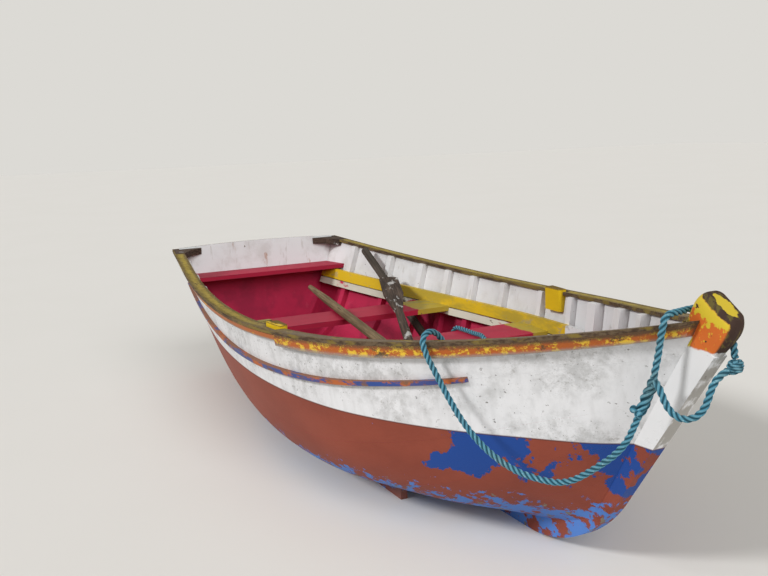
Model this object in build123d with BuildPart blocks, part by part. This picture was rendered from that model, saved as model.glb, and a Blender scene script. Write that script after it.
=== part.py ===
"""A small wooden rowing boat for the beach, built piece by piece in millimetres.

X runs from the transom to the bow, Y to port and Z up. The boat stands on a flat floor at Z = 0.
"""

from build123d import *

import math
import os
from collections import namedtuple

# Clearances and tolerances
CLEAR = 0.05
FIT_GAP = 0.2
LEAST_BULGE = 0.05
LEAST_INSIDE_Y = 2
TINY = 1e-9

# Spare size of blanks and cutting spaces
PLANK_SPARE = 4
STRIP_SPARE = 3
BOARD_SPARE = 40
BOARD_BELOW = 60
HEADROOM = 90
TRIM_INBOARD = 110
TRIM_OUTBOARD = 40
TRIM_HIGH = 130
TRIM_PAST_MIDDLE = 6
ROOM_SIDE = 900
ROOM_HIGH = 1200
ROOM_FWD_X = 3900

# Planking and backbone
PLANK_THICK = 14
KEEL_HALF_WIDTH = 24
KEEL_TOP = 74
KEEL_AFT_X = 66
TRANSOM_THICK = 26
TRANSOM_CROWN = 14

# Hull stations, each drawn in its own leaning plane from the foot up to the sheer
Station = namedtuple("Station", "x_foot x_top half_beam sheer foot floor_deg side_deg floor_pull side_pull")
TABLE = [
    Station(60, 0, 500, 740, 46, 21, 18, 0.41, 0.43),
    Station(470, 444, 570, 706, 44, 17, 17, 0.51, 0.56),
    Station(930, 925, 644, 676, 44, 13, 16, 0.59, 0.66),
    Station(1480, 1480, 701, 656, 44, 9, 13.5, 0.645, 0.72),
    Station(2010, 2035, 703, 659, 44, 6, 10, 0.655, 0.72),
    Station(2505, 2590, 609, 692, 44, 6, 5, 0.63, 0.66),
    Station(2870, 3034, 432, 744, 50, 15, 7, 0.57, 0.57),
    Station(3090, 3367, 248, 801, 96, 41, 13, 0.52, 0.48),
    Station(3205, 3589, 113, 848, 140, 65, 12, 0.48, 0.41),
    Station(3267, 3700, 24.5, 875, 170, 89, 1, 0.33, 0.33),
]
STERN_STATION = TABLE[0]
BLOCK_STATION = TABLE[4]
STEM_STATION = TABLE[-1]
CORE_END_X = 3400

# Share of the girth at which each strake ends, from the keel to the sheer
STRAKES = {"garboard": 0.22, "bottom": 0.43, "bilge": 0.63, "topside": 0.86, "sheer": 1.0}
SPANS = list(zip([0.0, *STRAKES.values()], STRAKES.values()))
SEAM_SHARE = 0.00015

# Gunwale
CAP_THICK = 14
CAP_INBOARD = 32
CAP_LEAST_Y = 3
RUB_SCARF_X = 2240
RUB_SCARF_GAP = 0.3
Rub = namedtuple("Rub", "name x_aft x_fwd deep thick")
RUBS = [
    Rub("rub_strake_aft", -20, RUB_SCARF_X - RUB_SCARF_GAP, 26, 20),
    Rub("rub_strake_fwd", RUB_SCARF_X, ROOM_FWD_X, 44, 26),
]
AFT_RUB, FWD_RUB = RUBS
RAIL_SHARE = STRAKES["topside"]
RAIL_HIGH = 20
RAIL_THICK = 17
RAIL_AFT_X = 330
RAIL_FWD_X = 3090

# Stem, its front face leaning forward from a corner on the floor line
STEM_LEAN = math.atan(0.70)
STEM_CORNER_X = 3200
FOREFOOT_START_X = 2900
FOREFOOT_HEEL = (3040, 128)
STEM_FOOT_X = 2760
APRON_DEEP = 55
APRON_FOOT_HIGH = 40
HeadSection = namedtuple("HeadSection", "climb long wide")
HEAD_SECTIONS = [
    HeadSection(2798, 139, 47.6),
    HeadSection(2850, 147, 58),
    HeadSection(2892, 146, 66),
    HeadSection(2925, 112, 54),
]
HEAD_MIDDLE = 2551.5
HEAD_LAP = 4
HEAD_ROUND_SHARE = 0.38

# Frames
Frame = namedtuple("Frame", "x sided")
FRAMES = [Frame(x, 38) for x in (330, 700, 1000, 1236, 1460, 1720, 2040, 2300)]
BOW_FRAMES = [Frame(2520, 74), Frame(2770, 70), Frame(3010, 50)]
FRAME_DEEP = 30
BOW_FRAME_DEEP = 46

# Thwarts, seat and stringers
Board = namedtuple("Board", "name x_aft x_fwd top thick")
THWARTS = [Board("mid_thwart", 1100, 1340, 492, 26), Board("forward_thwart", 1940, 2180, 505, 26)]
SEAT = Board("stern_seat", -10, 230, 600, 24)
Stringer = namedtuple("Stringer", "name drop high")
STRINGERS = [Stringer("clamp", 0, 54), Stringer("riser", 60, 34)]
STRINGER_THICK = 20
STRINGER_TOPS = [(100, 577), (1300, 541), (2480, 562)]
FLOOR_BOARD_THICK = 14
FLOOR_BOARD_X = (450, 2400)
FLOOR_BOARD_SPANS = [(34, 142), (156, 264)]
FLOOR_ROOM_HIGH = 300

# Thole blocks for the rowlocks
BLOCK_X = (2100, 2216)
BLOCK_Z = (592, 692)
BLOCK_DEEP = 53
BLOCK_BLANK_DEEP = 120
BLOCK_CHAMFER = 9
SOCKET_RADIUS = 7
SOCKET_DEEP = 70

# Corner knees at the transom and the hook behind the stem
KNEE_SLOPE = (STERN_STATION.sheer - TABLE[1].sheer) / (TABLE[1].x_top - STERN_STATION.x_top)
KNEE_ALONG = 150
KNEE_ACROSS = 140
KNEE_UNDER = 22
KNEE_THROAT = 70
KNEE_LAND = 10
KNEE_LAP = 0.01
HOOK_AFT_X = 3480
HOOK_DEEP = 40

# Bilge runners
RUNNER_X = (1250, 2450)
RUNNER_Y = (268, 296)
RUNNER_ROOM_HIGH = 160

# Oars, from the grip to the tip of the blade, and the short pole that the dark oar lies on
Oar = namedtuple("Oar", "name grip tip grip_radius loom_radius blade_long blade_wide blade_thick blade_roll")
OARS = [
    Oar("oar_light", (385, 188.1, 502.9), (2600, -273.8, 537.2), 14, 21.5, 420, 96, 13, 90),
    Oar("oar_dark", (2372, -174.2, 516.9), (808, 496, 580), 19, 20, 900, 104, 15, 0),
]
OAR_TAPER = 500
BLADE_RIDGE_SHARE = 1 / 3
BLADE_RIDGE_RADIUS_SHARE = 0.6
BLADE_NECK_SHARE = 0.7
BLADE_SHOULDER_SHARE = 0.5
BLADE_TIP_SHARE = 0.6
POLE_TOP = (505, 496.6, 711.1)
POLE_FOOT = (1430, 496.6, 204.2)
POLE_RADIUS = 22
POLE_ROUNDING = 6.6

# Rope, with the corners of its route from the end on the floor boards to the splice
ROPE_RADIUS = 10
CORNER_SHARE = 0.45
PAINTER_ROUTE = [
    (1290, 186, 145), (1430, 160, 135), (1570, 150, 131), (1700, 168, 131), (1800, 205, 138),
    (1862, 240, 200), (1893, 262, 300), (1905, 270, 410), (1925, 276, 500), (1985, 281, 521),
    (2080, 281, 516), (2170, 268, 520), (2236, 245, 490), (2330, 205, 440), (2450, 140, 385),
    (2590, 50, 345), (2730, -60, 340), (2850, -170, 395), (2930, -255, 490), (2975, -320, 600),
    (2994, -365, 700), (2999, -391, 758), (3002, -437, 782), (3006, -482, 760), (3018, -478, 715),
    (3044, -462, 660), (3076, -440, 591), (3118, -413, 514), (3180, -377, 442), (3256, -333, 392),
    (3329, -291, 374), (3413, -243, 375), (3491, -198, 439), (3564, -156, 515), (3597, -137, 611),
]
SPLICE_FOOT = PAINTER_ROUTE[-1]
SPLICE_HEAD = (3632, -114, 722)
SPLICE_GIRTH = [(0, 11), (0.15, 20), (0.8, 22), (1, 19)]
SPLICE_KNOBS = [(-9, -14, 12), (13, -8, 22)]
SPLICE_KNOB_RADIUS = 12
KNOT_CENTRE = (3788, 17, 770)
KNOT_RADIUS = 23
EYE_UPPER_ROUTE = [
    (3634, -117, 736), (3642, -111, 788), (3649, -107, 838), (3661, -98, 880), (3662, -72, 912),
    (3646, -38, 926), (3638, 0, 927), (3645, 38, 920), (3668, 62, 898), (3704, 66, 868),
    (3744, 54, 836), (3781, 24, 790),
]
EYE_LOWER_ROUTE = [
    (3788, -5, 766), (3782, -36, 750), (3778, -54, 722), (3773, -60, 690), (3764, -66, 660),
    (3746, -78, 636), (3719, -96, 628), (3696, -112, 643), (3680, -122, 671), (3670, -128, 702),
    (3648, -124, 722),
]


def between(index, share):
    """Station between two rows of the table, on the smooth curve through their neighbours."""
    rows = [max(min(row, len(TABLE) - 1), 0) for row in range(index - 1, index + 3)]
    before, low, high, after = (TABLE[row] for row in rows)
    step = high.x_top - low.x_top
    square = share**2
    cube = share**3
    fields = {}
    for field in Station._fields:
        a, b, c, d = (getattr(row, field) for row in (before, low, high, after))
        slope_low = (c - a) / (high.x_top - before.x_top) * step
        slope_high = (d - b) / (after.x_top - low.x_top) * step
        ends = (2 * cube - 3 * square + 1) * b + (3 * square - 2 * cube) * c
        slopes = (cube - 2 * square + share) * slope_low + (cube - square) * slope_high
        fields[field] = ends + slopes
    return Station(**fields)


HALFWAY_STATIONS = [between(row, 0.5) for row in range(len(TABLE) - 1)]
STATIONS = sorted(TABLE + HALFWAY_STATIONS, key=lambda station: station.x_top)
CORE_STATIONS = [station for station in STATIONS if station.x_top < CORE_END_X]


def lean(station):
    """Angle in radians by which the station's plane leans forward from upright."""
    return math.atan2(station.x_top - station.x_foot, station.sheer - station.foot)


def station_plane(station):
    """Plane of a station: local x runs to port, local y climbs from the foot to the sheer."""
    angle = lean(station)
    return Plane(origin=(station.x_foot, 0, station.foot), x_dir=(0, 1, 0),
                 z_dir=(math.cos(angle), 0, -math.sin(angle)))


def curve_at(station, t):
    """Point and unit tangent of the outer section curve at the curve parameter t."""
    climb = math.hypot(station.x_top - station.x_foot, station.sheer - station.foot)
    span = math.hypot(station.half_beam - KEEL_HALF_WIDTH, climb)
    floor = math.radians(station.floor_deg)
    side = math.radians(station.side_deg)
    p0 = (KEEL_HALF_WIDTH, 0)
    p3 = (station.half_beam, climb)
    reach0 = station.floor_pull * span
    reach3 = station.side_pull * span
    p1 = (p0[0] + reach0 * math.cos(floor), p0[1] + reach0 * math.sin(floor))
    p2 = (p3[0] - reach3 * math.sin(side), p3[1] - reach3 * math.cos(side))
    u = 1 - t
    point = []
    slope = []
    for a, b, c, d in zip(p0, p1, p2, p3):
        point.append(u**3 * a + 3 * u * u * t * b + 3 * u * t * t * c + t**3 * d)
        slope.append(3 * u * u * (b - a) + 6 * u * t * (c - b) + 3 * t * t * (d - c))
    size = math.hypot(*slope)
    return point, (slope[0] / size, slope[1] / size)


def girth_table(station, steps=60):
    """Running length of the section curve at evenly spaced parameters."""
    lengths = [0.0]
    last = curve_at(station, 0)[0]
    for step in range(1, steps + 1):
        here = curve_at(station, step / steps)[0]
        lengths.append(lengths[-1] + math.dist(last, here))
        last = here
    return lengths


def offset_point(station, share, inset):
    """Point at a share of the girth, moved inboard by the inset, in the station's own plane."""
    lengths = girth_table(station)
    goal = share * lengths[-1]
    step = max(i for i, length in enumerate(lengths[:-1]) if length <= goal + TINY)
    part = (goal - lengths[step]) / (lengths[step + 1] - lengths[step])
    point, tangent = curve_at(station, (step + part) / (len(lengths) - 1))
    y = point[0] - inset * tangent[1]
    return max(y, LEAST_INSIDE_Y), point[1] + inset * tangent[0]


def chain(station, inset, spans=SPANS):
    """Arcs as (start, middle, end) along the section at one inset, keel first."""
    return [tuple(offset_point(station, share, inset) for share in (low, (low + high) / 2, high))
            for low, high in spans]


def draw_chain(arcs):
    """Draw the chain of arcs in the open line builder, each with at least a slight bend."""
    for start, middle, end in arcs:
        along = (end[0] - start[0], end[1] - start[1])
        size = math.hypot(*along)
        half = ((start[0] + end[0]) / 2, (start[1] + end[1]) / 2)
        bulge = ((middle[0] - half[0]) * along[1] - (middle[1] - half[1]) * along[0]) / size
        if abs(bulge) < LEAST_BULGE:
            bulge = math.copysign(LEAST_BULGE, bulge)
        ThreePointArc(start, (half[0] + bulge * along[1] / size, half[1] - bulge * along[0] / size), end)


def top_lift(point, high):
    """Point straight above in the station's plane."""
    return point[0], point[1] + high


def full_body(inset, stations, above):
    """Space inside both section curves moved inboard by the inset."""
    with BuildPart() as body:
        for station in stations:
            arcs = chain(station, inset)
            mirrored = [tuple((-y, s) for y, s in arc) for arc in arcs]
            foot = arcs[0][0]
            head = arcs[-1][2]
            lid = head[1] + above
            with BuildSketch(station_plane(station)):
                with BuildLine():
                    draw_chain(arcs)
                    Polyline(head, (head[0], lid), (-head[0], lid), (-head[0], head[1]))
                    draw_chain(mirrored)
                    Line((-foot[0], foot[1]), foot)
                make_face()
        loft()
    return body.part


def plank_loft(spans, above):
    """Loft of one plank or of the whole port side, from lists of arc spans at every station."""
    with BuildPart() as plank:
        for station in STATIONS:
            outer = chain(station, 0, spans)
            inner = [arc[::-1] for arc in reversed(chain(station, PLANK_THICK, spans))]
            outer_head = outer[-1][2]
            inner_head = inner[0][0]
            lid = [top_lift(outer_head, above), top_lift(inner_head, above)]
            with BuildSketch(station_plane(station)):
                with BuildLine():
                    draw_chain(outer)
                    if above:
                        Polyline(outer_head, *lid, inner_head)
                    else:
                        Line(outer_head, inner_head)
                    draw_chain(inner)
                    Line(inner[-1][2], outer[0][0])
                make_face()
        loft()
    return plank.part


def port_band(quad, stations=STATIONS):
    """Loft of one four-cornered section per station, the corners given by a function."""
    with BuildPart() as band:
        for station in stations:
            with BuildSketch(station_plane(station)):
                with BuildLine():
                    Polyline(*quad(station), close=True)
                make_face()
        loft()
    return band.part


def both_sides(piece):
    """The piece and its mirror image across the boat's middle plane."""
    return piece, piece.mirror(Plane.XZ)


def box_between(low, high):
    """Plain box from its lowest to its highest corner."""
    size = [b - a for a, b in zip(low, high)]
    with BuildPart() as block:
        with Locations(tuple((a + b) / 2 for a, b in zip(low, high))):
            Box(*size)
    return block.part


def carve(blank, keep=(), drop=()):
    """The blank cut down to every solid to keep and cleared of every solid to drop."""
    with BuildPart() as piece:
        add(blank)
        for solid in keep:
            add(solid, mode=Mode.INTERSECT, clean=False)
        for solid in drop:
            add(solid, mode=Mode.SUBTRACT, clean=False)
    return piece.part


def joined(*solids):
    """All the solids fused into one part."""
    with BuildPart() as piece:
        for solid in solids:
            add(solid)
    return piece.part


def save(name, *solids):
    """Label the solids as one part, move it to the boat's middle and export it."""
    moved = [Pos(-MIDDLE_X, 0, 0) * solid for solid in solids]
    part = moved[0] if len(moved) == 1 else Compound(children=list(moved))
    part.label = name
    export_step(part, f"parts/{name}.step")


def sheer_trim_quad(station):
    """Section of the space above the sheer, wide enough to trim all that stands below it."""
    head = curve_at(station, 1)[0]
    y_in = max(head[0] - TRIM_INBOARD, -TRIM_PAST_MIDDLE)
    y_out = head[0] + TRIM_OUTBOARD
    top = head[1] + TRIM_HIGH
    return [(y_in, head[1]), (y_out, head[1]), (y_out, top), (y_in, top)]


def cap_quad(station):
    """Section of the cap rail, lying on the sheer with a small gap."""
    y, height = curve_at(station, 1)[0]
    y_in = max(y - CAP_INBOARD, CAP_LEAST_Y)
    y_out = y + FWD_RUB.thick
    foot = height + CLEAR
    top = height + CAP_THICK
    return [(y_in, foot), (y_out, foot), (y_out, top), (y_in, top)]


def rub_quad(station, rub):
    """Section of a rub strake against the plank behind it, left a little high for the trim."""
    head, tangent = curve_at(station, 1)
    low = (head[0] - rub.deep * tangent[0], head[1] - rub.deep * tangent[1])
    over = (head[0] + STRIP_SPARE * tangent[0], head[1] + STRIP_SPARE * tangent[1])
    return [(low[0] + FIT_GAP, low[1]), (low[0] + rub.thick, low[1]),
            (over[0] + rub.thick, over[1]), (over[0] + FIT_GAP, over[1])]


def rail_quad(station):
    """Section of the lower rail along the seam under the sheer strake."""
    girth = girth_table(station)[-1]
    half = RAIL_HIGH / 2 / girth
    low, high = RAIL_SHARE - half, RAIL_SHARE + half
    return [offset_point(station, low, -FIT_GAP), offset_point(station, low, -RAIL_THICK),
            offset_point(station, high, -RAIL_THICK), offset_point(station, high, -FIT_GAP)]


def hook_quad(station):
    """Section of the hook between the sheer strakes behind the stem."""
    y, height = curve_at(station, 1)[0]
    foot = height - HOOK_DEEP
    top = height + STRIP_SPARE
    return [(-STRIP_SPARE, foot), (y, foot), (y, top), (-STRIP_SPARE, top)]


def stringer_band(stringer):
    """Curved band across the whole boat from which both stringers of a pair are cut."""
    tops = [(x, z - stringer.drop) for x, z in STRINGER_TOPS]
    feet = [(x, z - stringer.high) for x, z in reversed(tops)]
    with BuildPart() as band:
        with BuildSketch(Plane.XZ):
            with BuildLine():
                ThreePointArc(*tops)
                Line(tops[-1], feet[0])
                ThreePointArc(*feet)
                Line(feet[-1], tops[0])
            make_face()
        extrude(amount=ROOM_SIDE, both=True)
    return band.part


def stem_point(across, climb):
    """X and Z of a point given across the stem's lean and along it."""
    return (across * math.cos(STEM_LEAN) + climb * math.sin(STEM_LEAN),
            climb * math.cos(STEM_LEAN) - across * math.sin(STEM_LEAN))


def build_keel():
    """Straight keel from the transom to the stem's foot."""
    return box_between((KEEL_AFT_X, -KEEL_HALF_WIDTH, 0), (STEM_FOOT_X, KEEL_HALF_WIDTH, KEEL_TOP))


def build_stem():
    """Stem with its forefoot, its apron behind the planks and its knob above the sheer."""
    tangent_length = STEM_CORNER_X - FOREFOOT_START_X
    arc_start = (FOREFOOT_START_X, 0)
    arc_end = (STEM_CORNER_X + tangent_length * math.sin(STEM_LEAN), tangent_length * math.cos(STEM_LEAN))
    half_turn = (math.pi / 2 - STEM_LEAN) / 2
    radius = tangent_length / math.tan(half_turn)
    arc_middle = (FOREFOOT_START_X + radius * math.sin(half_turn), radius - radius * math.cos(half_turn))
    head_base = HEAD_SECTIONS[0]
    front_top = stem_point(HEAD_MIDDLE + head_base.long / 2, head_base.climb + HEAD_LAP)
    back_top = stem_point(HEAD_MIDDLE - head_base.long / 2, head_base.climb + HEAD_LAP)
    apron_foot = (STEM_STATION.x_foot - APRON_DEEP, STEM_STATION.foot + APRON_FOOT_HIGH)
    heel = (STEM_FOOT_X, 0)
    heel_top = (STEM_FOOT_X, KEEL_TOP)
    lean_normal = (math.sin(STEM_LEAN), 0, math.cos(STEM_LEAN))
    with BuildPart() as stem:
        with BuildSketch(Plane.XZ):
            with BuildLine():
                Line(heel, arc_start)
                ThreePointArc(arc_start, arc_middle, arc_end)
                Polyline(arc_end, front_top, back_top, apron_foot, FOREFOOT_HEEL, heel_top, heel)
            make_face()
        extrude(amount=KEEL_HALF_WIDTH, both=True)
        for section in HEAD_SECTIONS:
            x, z = stem_point(HEAD_MIDDLE, section.climb)
            with BuildSketch(Plane(origin=(x, 0, z), x_dir=(0, 1, 0), z_dir=lean_normal)):
                RectangleRounded(section.wide, section.long, section.wide * HEAD_ROUND_SHARE)
        loft()
    return stem.part


def build_transom():
    """Raked transom board with an arched top, still larger than its place in the hull."""
    head = curve_at(STERN_STATION, 1)[0]
    wide = head[0] + BOARD_SPARE
    top = head[1] + CAP_THICK
    with BuildPart() as board:
        with BuildSketch(station_plane(STERN_STATION)):
            with BuildLine():
                Polyline((wide, top), (wide, -BOARD_BELOW), (-wide, -BOARD_BELOW), (-wide, top))
                ThreePointArc((-wide, top), (0, top + TRANSOM_CROWN), (wide, top))
            make_face()
        extrude(amount=TRANSOM_THICK)
    return board.part


def build_knee_plate(low, high):
    """Port corner knee between two heights above the sheer plane at the stern."""
    beam = STERN_STATION.half_beam
    beam_at_end = beam + (TABLE[1].half_beam - beam) / TABLE[1].x_top * KNEE_ALONG
    outline = [
        (0, beam + AFT_RUB.thick),
        (KNEE_ALONG, beam_at_end + AFT_RUB.thick),
        (KNEE_ALONG, beam_at_end - CAP_INBOARD),
        (KNEE_THROAT, beam - KNEE_THROAT),
        (TRANSOM_THICK + KNEE_LAND, beam - KNEE_ACROSS),
        (0, beam - KNEE_ACROSS),
    ]
    plane = Plane(origin=(0, 0, STERN_STATION.sheer), x_dir=(1, 0, -KNEE_SLOPE), z_dir=(KNEE_SLOPE, 0, 1))
    with BuildPart() as plate:
        with BuildSketch(plane.offset(low)):
            Polygon(*outline, align=None)
        extrude(amount=high - low)
    return plate.part


def build_block():
    """Port thole block with its socket, still larger than its place behind the plank."""
    middle_x = (BLOCK_X[0] + BLOCK_X[1]) / 2
    middle_z = (BLOCK_Z[0] + BLOCK_Z[1]) / 2
    y_in = BLOCK_STATION.half_beam - PLANK_THICK - BLOCK_DEEP
    with BuildPart() as block:
        with Locations((middle_x, y_in + BLOCK_BLANK_DEEP / 2, middle_z)):
            Box(BLOCK_X[1] - BLOCK_X[0], BLOCK_BLANK_DEEP, BLOCK_Z[1] - BLOCK_Z[0])
        chamfer(block.edges().filter_by(Axis.Z).sort_by(Axis.Y)[:2], length=BLOCK_CHAMFER)
        with Locations((middle_x, y_in + BLOCK_DEEP / 2, BLOCK_Z[1] - SOCKET_DEEP / 2)):
            Cylinder(SOCKET_RADIUS, SOCKET_DEEP, mode=Mode.SUBTRACT)
    return block.part


def build_board(board):
    """Flat board across the boat, still longer than its place between the planks."""
    low = (board.x_aft, -ROOM_SIDE, board.top - board.thick)
    return box_between(low, (board.x_fwd, ROOM_SIDE, board.top))


def build_oar(oar):
    """Oar with a slim grip, a round loom and a flat blade with a rounded tip."""
    grip = Vector(*oar.grip)
    along = Vector(*oar.tip) - grip
    across = along.cross(Vector(0, 0, 1)).rotate(Axis((0, 0, 0), along), oar.blade_roll)
    plane = Plane(origin=grip, x_dir=across, z_dir=along)
    throat = along.length - oar.blade_long
    half = oar.blade_wide / 2
    neck = oar.loom_radius * BLADE_NECK_SHARE
    wide_x = throat + oar.blade_long * BLADE_SHOULDER_SHARE
    end_x = along.length - half * BLADE_TIP_SHARE
    port_edge = [(throat, neck), (wide_x, half), (end_x, half)]
    starboard_edge = [(end_x, -half), (wide_x, -half), (throat, -neck)]
    with BuildPart() as piece:
        with BuildSketch(plane):
            Circle(oar.grip_radius)
        with BuildSketch(plane.offset(OAR_TAPER)):
            Circle(oar.loom_radius)
        loft()
        with BuildSketch(plane.offset(OAR_TAPER)):
            Circle(oar.loom_radius)
        extrude(amount=throat - OAR_TAPER)
        with BuildSketch(plane.offset(throat)):
            Circle(oar.loom_radius)
        with BuildSketch(plane.offset(throat + oar.blade_long * BLADE_RIDGE_SHARE)):
            Circle(oar.blade_thick * BLADE_RIDGE_RADIUS_SHARE)
        loft()
        with BuildSketch(Plane(origin=grip, x_dir=along, z_dir=across.cross(along))):
            with BuildLine():
                Polyline(*starboard_edge, *port_edge)
                ThreePointArc((end_x, half), (along.length, 0), (end_x, -half))
            make_face()
        extrude(amount=oar.blade_thick / 2, both=True)
    return piece.part


def build_pole():
    """Short round pole with slightly rounded ends."""
    along = Vector(*POLE_FOOT) - Vector(*POLE_TOP)
    with BuildPart() as pole:
        with BuildSketch(Plane(origin=POLE_TOP, z_dir=along)):
            Circle(POLE_RADIUS)
        extrude(amount=along.length)
        fillet(pole.edges().filter_by(GeomType.CIRCLE), radius=POLE_ROUNDING)
    return pole.part


def corner_radii(route):
    """Largest smooth radius at each inner corner of a route of straight runs."""
    points = [Vector(*point) for point in route]
    radii = []
    for before, here, after in zip(points, points[1:], points[2:]):
        turn = math.radians((here - before).get_angle(after - here))
        shorter_run = min((here - before).length, (after - here).length)
        radii.append(CORNER_SHARE * shorter_run / math.tan(turn / 2))
    return radii


def build_rope(name, route):
    """Round rope along straight runs joined by tangent arcs."""
    radii = corner_radii(route)
    with BuildPart() as rope:
        with BuildLine() as path:
            FilletPolyline(*route, radius=radii)
        wire = path.wires()[0]
        with BuildSketch(Plane(origin=wire @ 0, z_dir=wire % 0)):
            Circle(ROPE_RADIUS)
        sweep(path=wire)
    share = rope.part.volume / (math.pi * ROPE_RADIUS**2 * wire.length)
    print(f"{name}: length {wire.length:.0f} mm, volume over section times length {share:.4f}")
    print("  radii", ", ".join(f"{radius:.0f}" for radius in radii))
    return rope.part


def build_splice():
    """Thick tapered splice with the two tucked strand ends that stand out of it."""
    foot = Vector(*SPLICE_FOOT)
    along = Vector(*SPLICE_HEAD) - foot
    with BuildPart() as splice:
        for share, radius in SPLICE_GIRTH:
            with BuildSketch(Plane(origin=foot + along * share, z_dir=along)):
                Circle(radius)
        loft()
        for knob in SPLICE_KNOBS:
            with Locations(tuple(foot + Vector(*knob))):
                Sphere(SPLICE_KNOB_RADIUS)
    return splice.part


def build_knot():
    """Ball of the turns that close the eye in front of the stem."""
    with BuildPart() as knot:
        with Locations(KNOT_CENTRE):
            Sphere(KNOT_RADIUS)
    return knot.part


HEAD_TIP_X = stem_point(HEAD_MIDDLE + HEAD_SECTIONS[2].long / 2, HEAD_SECTIONS[2].climb)[0]
MIDDLE_X = round(HEAD_TIP_X / 2)


def main():
    """Build and export every piece."""
    os.makedirs("parts", exist_ok=True)
    skins = both_sides(plank_loft(SPANS, PLANK_SPARE))
    trims = both_sides(port_band(sheer_trim_quad))
    inside = full_body(PLANK_THICK + CLEAR, STATIONS, HEADROOM)
    core = full_body(PLANK_THICK + FRAME_DEEP, CORE_STATIONS, HEADROOM)
    bow_core = full_body(PLANK_THICK + BOW_FRAME_DEEP, CORE_STATIONS, HEADROOM)
    inner = full_body(PLANK_THICK + FRAME_DEEP + STRINGER_THICK, CORE_STATIONS, HEADROOM)
    floor_core = full_body(PLANK_THICK + FRAME_DEEP + FLOOR_BOARD_THICK, CORE_STATIONS, HEADROOM)

    keel = build_keel()
    stem = carve(build_stem(), drop=skins)
    save("keel", keel)
    save("stem_post", stem)

    knee_plates = both_sides(build_knee_plate(0, CAP_THICK))
    knee_unders = both_sides(build_knee_plate(-KNEE_UNDER, KNEE_LAP))
    transom = carve(build_transom(), keep=[inside], drop=[keel, *knee_plates, *knee_unders])
    save("transom", transom)
    for side, plate, under in zip(("port", "starboard"), knee_plates, knee_unders):
        save(f"quarter_knee_{side}", joined(plate, carve(under, keep=[inside])))

    for name, (low, high) in zip(STRAKES, SPANS):
        seam_low = low + SEAM_SHARE if low > 0 else low
        seam_high = high - SEAM_SHARE if high < 1 else high
        strake = plank_loft([(seam_low, seam_high)], 0 if high < 1 else PLANK_SPARE)
        if high == 1:
            strake = carve(strake, drop=[trims[0], knee_plates[0]])
        for side, piece in zip(("port", "starboard"), both_sides(strake)):
            save(f"{name}_strake_{side}", piece)

    blocks = both_sides(carve(build_block(), keep=[inside]))
    for side, block in zip(("port", "starboard"), blocks):
        save(f"thole_block_{side}", block)
    notch_out = BLOCK_STATION.half_beam - PLANK_THICK - CLEAR
    notch = box_between((BLOCK_X[0] - FIT_GAP, 0, BLOCK_Z[0]), (BLOCK_X[1] + FIT_GAP, notch_out, ROOM_HIGH))
    cap = carve(port_band(cap_quad), drop=[knee_plates[0], stem, notch])
    hook_blank = port_band(hook_quad, STATIONS[-3:])
    hook_room = box_between((HOOK_AFT_X, -ROOM_SIDE, 0), (ROOM_FWD_X, ROOM_SIDE, ROOM_HIGH))
    hook = carve(joined(*both_sides(hook_blank)), keep=[inside, hook_room], drop=[stem, *trims])
    save("breasthook", hook)
    for side, piece in zip(("port", "starboard"), both_sides(cap)):
        save(f"cap_rail_{side}", piece)
    for rub in RUBS:
        room = box_between((rub.x_aft, 0, 0), (rub.x_fwd, ROOM_SIDE, ROOM_HIGH))
        blank = port_band(lambda station, rub=rub: rub_quad(station, rub))
        strip = carve(blank, keep=[room], drop=[trims[0], knee_plates[0], stem])
        for side, piece in zip(("port", "starboard"), both_sides(strip)):
            save(f"{rub.name}_{side}", piece)
    rail_room = box_between((RAIL_AFT_X, 0, 0), (RAIL_FWD_X, ROOM_SIDE, ROOM_HIGH))
    rail = carve(port_band(rail_quad), keep=[rail_room])
    for side, piece in zip(("port", "starboard"), both_sides(rail)):
        save(f"rub_rail_{side}", piece)

    for name, group, inner_face in (("frames", FRAMES, core), ("bow_frames", BOW_FRAMES, bow_core)):
        ribs = []
        for x, sided in group:
            slab = box_between((x - sided / 2, -ROOM_SIDE, 0), (x + sided / 2, ROOM_SIDE, ROOM_HIGH))
            ribs.append(carve(slab, keep=[inside], drop=[inner_face, keel, stem, *trims]))
        save(name, *ribs)

    seat = carve(build_board(SEAT), keep=[inside], drop=[transom])
    save(SEAT.name, seat)
    thwarts = []
    for board in THWARTS:
        thwarts.append(carve(build_board(board), keep=[core]))
        save(board.name, thwarts[-1])
    for stringer in STRINGERS:
        strips = carve(stringer_band(stringer), keep=[core], drop=[inner, seat, *thwarts])
        for side, strip in zip(("starboard", "port"), strips.solids().sort_by(Axis.Y)):
            save(f"{stringer.name}_{side}", strip)

    boards = []
    for low, high in FLOOR_BOARD_SPANS:
        for side in (1, -1):
            y_low, y_high = sorted((side * low, side * high))
            room = box_between((FLOOR_BOARD_X[0], y_low, 0), (FLOOR_BOARD_X[1], y_high, FLOOR_ROOM_HIGH))
            boards.append(carve(room, keep=[core], drop=[floor_core]))
    save("floor_boards", *boards)

    runner_blank = box_between((RUNNER_X[0], RUNNER_Y[0], 0), (RUNNER_X[1], RUNNER_Y[1], RUNNER_ROOM_HIGH))
    runner = carve(runner_blank, drop=[full_body(-CLEAR, STATIONS, HEADROOM)])
    for side, piece in zip(("port", "starboard"), both_sides(runner)):
        save(f"bilge_runner_{side}", piece)

    for oar in OARS:
        save(oar.name, build_oar(oar))
    save("pole", build_pole())
    save("painter", build_rope("painter", PAINTER_ROUTE))
    save("painter_eye", *[build_rope("painter_eye", route) for route in (EYE_UPPER_ROUTE, EYE_LOWER_ROUTE)])
    save("painter_splice", build_splice())
    save("painter_knot", build_knot())


if __name__ == "__main__":
    main()
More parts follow.
